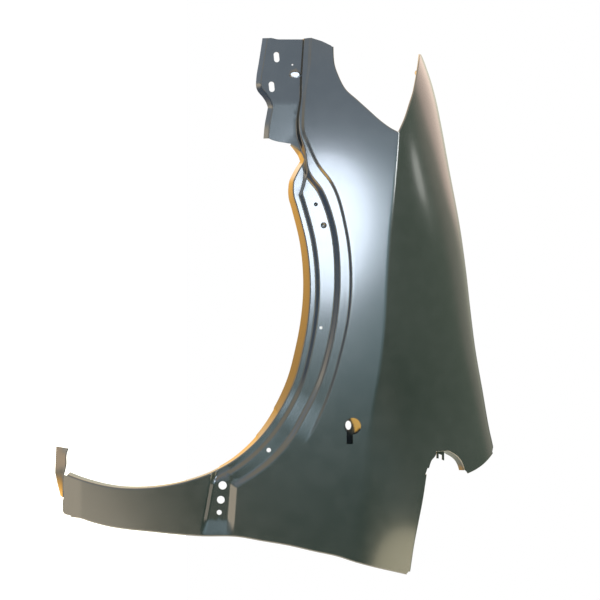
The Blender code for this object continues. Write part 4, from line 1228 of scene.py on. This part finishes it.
def build_skin(sheet, paint):
    mesh = raise_sheet(*flat_blank())
    data = bpy.data.meshes.new("fender_skin")
    mesh.to_mesh(data)
    mesh.free()
    piece = linked("fender_skin", data)
    apply_tree(piece, sheet_tree(), {
        "Thickness": sheet.thickness, "Hole Radius": BONNET_HOLE_DIAMETER / 2, "Cutter Length": CUTTER_HEIGHT,
        "Sharp Angle": sheet.sharp_angle, "Paint": primer_material(paint)})
    smooth_normals(piece.data)
    return finish_piece(piece)


def socket_tree():
    """Node tree that sets a clip socket, a small blind cup that opens outwards, on each point."""
    tree, graph, known = named_tree("Clip Sockets", (
        ("Depth", "Float"), ("Width Share", "Float"), ("Thickness", "Float"), ("Sharp Angle", "Float"),
        ("Paint", "Material")))
    width = graph.value("GeometryNodeInputNamedAttribute", {"data_type": "FLOAT"},
                        {"Name": HOLE_MARK}, "Attribute")
    rim = width * known["Width Share"]
    disc = graph.value("GeometryNodeMeshCircle", {"fill_type": "TRIANGLE_FAN"},
                       {"Vertices": HOLE_STEPS, "Radius": 1.0}, "Mesh")
    place = graph.value("GeometryNodeInputPosition", {}, {}, "Position")
    away = graph.value("ShaderNodeVectorMath", {"operation": "LENGTH"}, {0: place}, "Value")
    drop = graph.value("ShaderNodeCombineXYZ", {}, {2: away - 1.0}, "Vector")
    cup = graph.value("GeometryNodeSetPosition", {}, {"Geometry": disc, "Offset": drop}, "Geometry")
    size = graph.value("ShaderNodeCombineXYZ", {}, {0: rim, 1: rim, 2: known["Depth"]}, "Vector")
    cups = graph.value("GeometryNodeInstanceOnPoints", {}, {
        "Points": known["Geometry"], "Instance": cup, "Rotation": (math.pi / 2, 0.0, 0.0),
        "Scale": size}, "Instances")
    cups = graph.value("GeometryNodeRealizeInstances", {}, {"Geometry": cups}, "Geometry")
    finish_tree(graph, thickened(graph, cups, known["Thickness"]), known)
    return tree


def build_sockets(sheet, paint):
    """The two blind clip sockets behind the upper holes of the shelf."""
    mesh = bmesh.new()
    widths = mesh.verts.layers.float.new(HOLE_MARK)
    for (x, z), diameter in list(zip(clip_hole_places(), CLIP_HOLE_DIAMETERS))[:SOCKET_COUNT]:
        place = Vector((x, pressed(x, z) + SHEET_THICKNESS - PIECE_OVERLAP, z)) - origin()
        mesh.verts.new(place)[widths] = diameter
    data = bpy.data.meshes.new("clip_sockets")
    mesh.to_mesh(data)
    mesh.free()
    piece = linked("clip_sockets", data)
    apply_tree(piece, socket_tree(), {
        "Depth": SOCKET_DEPTH, "Width Share": SOCKET_WIDTH_SHARE, "Thickness": sheet.thickness,
        "Sharp Angle": sheet.sharp_angle, "Paint": primer_material(paint)})
    return finish_piece(piece)


def build_lamp_seat(sheet, paint):
    """The shallow pan behind the keyhole; its leaning floor has a small oval opening."""
    mesh = bmesh.new()
    edge = keyhole()
    x_0, z_0 = scaled([REPEATER_SHARES])[0]
    wall = [(x_0 + (x - x_0) * SEAT_OVERLAP, z_0 + (z - z_0) * SEAT_OVERLAP) for x, z in edge]
    inner = [pressed(x, z) + SHEET_THICKNESS for x, z in wall]
    before = [mesh.verts.new(Vector((x, y - PIECE_OVERLAP, z)) - origin()) for (x, z), y in zip(wall, inner)]
    top = max(inner) + SEAT_WALL
    reach = SEAT_OVERLAP * REPEATER_DIAMETER / 2
    for share in SEAT_ROW_SHARES:
        row = []
        for x, z in edge:
            turn = math.atan2(x - x_0, z - z_0)
            end_x = SEAT_OVAL[1] * math.sin(turn)
            end_z = SEAT_OVAL_SHIFT + SEAT_OVAL[0] * math.cos(turn)
            away_x = (x - x_0) * SEAT_OVERLAP * (1 - share) + end_x * share
            away_z = (z - z_0) * SEAT_OVERLAP * (1 - share) + end_z * share
            inboard = SEAT_SLOPES[0] * (away_x + reach) + SEAT_SLOPES[1] * (reach - away_z)
            row.append(mesh.verts.new(Vector((x_0 + away_x, top + inboard, z_0 + away_z)) - origin()))
        for index in range(len(row)):
            onward = (index + 1) % len(row)
            mesh.faces.new([before[index], before[onward], row[onward], row[index]])
        before = row
    mesh.verts.layers.int.new(HOLE_MARK)
    bmesh.ops.recalc_face_normals(mesh, faces=mesh.faces)
    if mesh.faces[-1].normal.y > 0:
        bmesh.ops.reverse_faces(mesh, faces=mesh.faces)
    data = bpy.data.meshes.new("lamp_seat")
    mesh.to_mesh(data)
    mesh.free()
    piece = linked("lamp_seat", data)
    apply_tree(piece, sheet_tree(), {
        "Thickness": sheet.thickness, "Hole Radius": BONNET_HOLE_DIAMETER / 2, "Cutter Length": CUTTER_HEIGHT,
        "Sharp Angle": sheet.sharp_angle, "Paint": primer_material(paint)})
    return finish_piece(piece)


def finish_piece(piece):
    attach(piece, "root")
    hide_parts(PANEL_NODE)
    return piece


def floor_material():
    material = bpy.data.materials.new("pale_floor")
    material.use_nodes = True
    graph = Graph(material.node_tree)
    place = graph.value("ShaderNodeTexCoord", {}, {}, "Object")
    cloud = graph.between(graph.noise(place, *FLOOR_NOISE), *FLOOR_RANGE)
    colour = graph.mix(cloud, *FLOOR_TONES)
    shader = graph.value("ShaderNodeBsdfPrincipled", {}, {
        "Base Color": colour, "Roughness": FLOOR_ROUGHNESS, "Emission Color": colour,
        "Emission Strength": FLOOR_GLOW}, "BSDF")
    graph.node("ShaderNodeOutputMaterial", {}, {"Surface": shader})
    return material


def build_floor(studio):
    mesh = bmesh.new()
    half = studio.floor_size / 2
    centre_x, centre_y = FLOOR_MIDDLE
    corners = [(centre_x + x * half, centre_y + y * half, studio.floor_height)
               for x, y in ((-1, -1), (1, -1), (1, 1), (-1, 1))]
    mesh.faces.new([mesh.verts.new(corner) for corner in corners])
    data = bpy.data.meshes.new("studio_floor")
    mesh.to_mesh(data)
    mesh.free()
    data.materials.append(floor_material())
    floor = linked("studio_floor", data)
    floor.visible_glossy = False
    floor.visible_diffuse = False


def build_world(studio):
    """A pale backdrop to the camera; reflections see a room with a few broad tones."""
    world = bpy.data.worlds.new("studio_world")
    world.use_nodes = True
    graph = Graph(world.node_tree)
    direction = graph.value("ShaderNodeTexCoord", {}, {}, "Generated")
    room = tuple(studio.front_colour) + (1.0,)
    for axis, start, end, colour in ROOM_TONES:
        lean = graph.value("ShaderNodeVectorMath", {"operation": "DOT_PRODUCT"},
                           {0: direction, 1: Vector(axis).normalized()}, "Value")
        room = graph.mix(graph.between(lean, start, end), room, colour + (1.0,))
    seen = graph.value("ShaderNodeLightPath", {}, {}, "Is Camera Ray")
    colour = graph.mix(seen, room, tuple(studio.backdrop_colour) + (1.0,))
    light = graph.value("ShaderNodeBackground", {}, {"Color": colour, "Strength": 1.0}, "Background")
    graph.node("ShaderNodeOutputWorld", {}, {"Surface": light})
    bpy.context.scene.world = world


def add_card(name, place, target, size, colour, radiance):
    """A soft round light of an even brightness, turned to its target and unseen by the camera."""
    data = bpy.data.lights.new(name, "AREA")
    data.shape = "ELLIPSE"
    data.size, data.size_y = size
    data.energy = radiance * (math.pi ** 2 / 4) * size[0] * size[1]
    data.color = colour
    card = linked(name, data)
    card.location = place
    card.rotation_euler = (Vector(target) - Vector(place)).to_track_quat("-Z", "Y").to_euler()
    card.visible_camera = False


def build_camera(studio):
    data = bpy.data.cameras.new("studio_camera")
    data.sensor_width = SENSOR_WIDTH
    data.lens = SENSOR_WIDTH * studio.camera_distance / studio.view_width
    camera = linked("studio_camera", data)
    place = Vector((CAMERA_TARGET[0], CAMERA_TARGET[1] - studio.camera_distance, CAMERA_TARGET[2]))
    right, top, back = Vector((0, 0, 1)), Vector((-1, 0, 0)), Vector((0, -1, 0))
    turn = Matrix((right, top, back)).transposed().to_4x4()
    camera.matrix_world = Matrix.Translation(place) @ turn
    bpy.context.scene.camera = camera


class FENDER_PG_sheet(bpy.types.PropertyGroup):
    thickness: bpy.props.FloatProperty(
        name="Thickness", description="Thickness of the steel sheet",
        default=SHEET_THICKNESS, unit="LENGTH")
    sharp_angle: bpy.props.FloatProperty(
        name="Sharp angle", description="Edges turned further than this stay sharp",
        default=math.radians(32.0), subtype="ANGLE")


class FENDER_PG_paint(bpy.types.PropertyGroup):
    low_colour: bpy.props.FloatVectorProperty(
        name="Low colour", description="Darker tone of the primer",
        default=(0.006, 0.008, 0.008), size=3, subtype="COLOR")
    high_colour: bpy.props.FloatVectorProperty(
        name="High colour", description="Lighter tone of the primer",
        default=(0.011, 0.013, 0.013), size=3, subtype="COLOR")
    roughness: bpy.props.FloatProperty(
        name="Roughness", description="Roughness of the primer",
        default=0.21, subtype="FACTOR")
    gloss: bpy.props.FloatProperty(
        name="Index", description="Index of refraction of the primer",
        default=1.55)
    coat: bpy.props.FloatProperty(
        name="Coat", description="Weight of the glossy top film",
        default=0.25, subtype="FACTOR")
    coat_roughness: bpy.props.FloatProperty(
        name="Coat roughness", description="Roughness of the glossy top film",
        default=0.10, subtype="FACTOR")
    peel: bpy.props.FloatProperty(
        name="Orange peel", description="Strength of the fine surface waviness",
        default=0.012, subtype="FACTOR")


class FENDER_PG_studio(bpy.types.PropertyGroup):
    camera_distance: bpy.props.FloatProperty(
        name="Camera distance", description="From the camera to the arch plane",
        default=2.2, unit="LENGTH")
    view_width: bpy.props.FloatProperty(
        name="View width", description="Width of the view at the arch plane",
        default=1.008, unit="LENGTH")
    floor_size: bpy.props.FloatProperty(
        name="Floor size", description="Side of the floor",
        default=5.0, unit="LENGTH")
    floor_height: bpy.props.FloatProperty(
        name="Floor height", description="Height of the floor",
        default=-0.3815, unit="LENGTH")
    backdrop_colour: bpy.props.FloatVectorProperty(
        name="Backdrop", description="Background that the camera sees",
        default=(1.0, 1.0, 1.0), size=3, subtype="COLOR")
    front_colour: bpy.props.FloatVectorProperty(
        name="Front glow", description="Light from the camera's side",
        default=(1.55, 2.3, 2.5), size=3, subtype="COLOR", max=50)
    key_radiance: bpy.props.FloatProperty(
        name="Key", description="Brightness of the main soft light",
        default=32.0)


class FENDER_OT_skin(bpy.types.Operator):
    """Builds the pressed and primed panel"""
    bl_idname = "fender.build_skin"
    bl_label = "Build panel"

    def execute(self, context):
        build_skin(context.scene.fender_sheet, context.scene.fender_paint)
        return {"FINISHED"}


class FENDER_OT_fittings(bpy.types.Operator):
    """Builds the clip sockets and the repeater lamp's seat behind the panel"""
    bl_idname = "fender.build_fittings"
    bl_label = "Build fittings"

    def execute(self, context):
        build_sockets(context.scene.fender_sheet, context.scene.fender_paint)
        build_lamp_seat(context.scene.fender_sheet, context.scene.fender_paint)
        return {"FINISHED"}


class FENDER_OT_stage(bpy.types.Operator):
    """Builds the floor, the soft lights and the camera"""
    bl_idname = "fender.build_stage"
    bl_label = "Build studio"

    def execute(self, context):
        studio = context.scene.fender_studio
        build_floor(studio)
        build_world(studio)
        for name, place, target, size, colour, share in CARDS:
            add_card(name, place, target, size, colour, share * studio.key_radiance)
        build_camera(studio)
        context.scene.view_settings.view_transform = "Standard"
        return {"FINISHED"}


class FENDER_PT_panel(bpy.types.Panel):
    bl_label = "Fender"
    bl_idname = "FENDER_PT_panel"
    bl_space_type = "VIEW_3D"
    bl_region_type = "UI"
    bl_category = "Fender"

    def draw(self, context):
        for group, operators in (("fender_sheet", ()), ("fender_paint", (FENDER_OT_skin, FENDER_OT_fittings)),
                                 ("fender_studio", (FENDER_OT_stage,))):
            box = self.layout.box()
            settings = getattr(context.scene, group)
            for name in settings.__annotations__:
                box.prop(settings, name)
            for operator in operators:
                box.operator(operator.bl_idname)


GROUPS = (("fender_sheet", FENDER_PG_sheet), ("fender_paint", FENDER_PG_paint),
          ("fender_studio", FENDER_PG_studio))
CLASSES = tuple(group for _, group in GROUPS) + (
    FENDER_OT_skin, FENDER_OT_fittings, FENDER_OT_stage, FENDER_PT_panel)


def register():
    for entry in CLASSES:
        bpy.utils.register_class(entry)
    for name, group in GROUPS:
        setattr(bpy.types.Scene, name, bpy.props.PointerProperty(type=group))


def unregister():
    for name, _ in GROUPS:
        delattr(bpy.types.Scene, name)
    for entry in reversed(CLASSES):
        bpy.utils.unregister_class(entry)


def main():
    register()
    bpy.ops.fender.build_skin()
    bpy.ops.fender.build_fittings()
    bpy.ops.fender.build_stage()


if __name__ == "__main__":
    main()
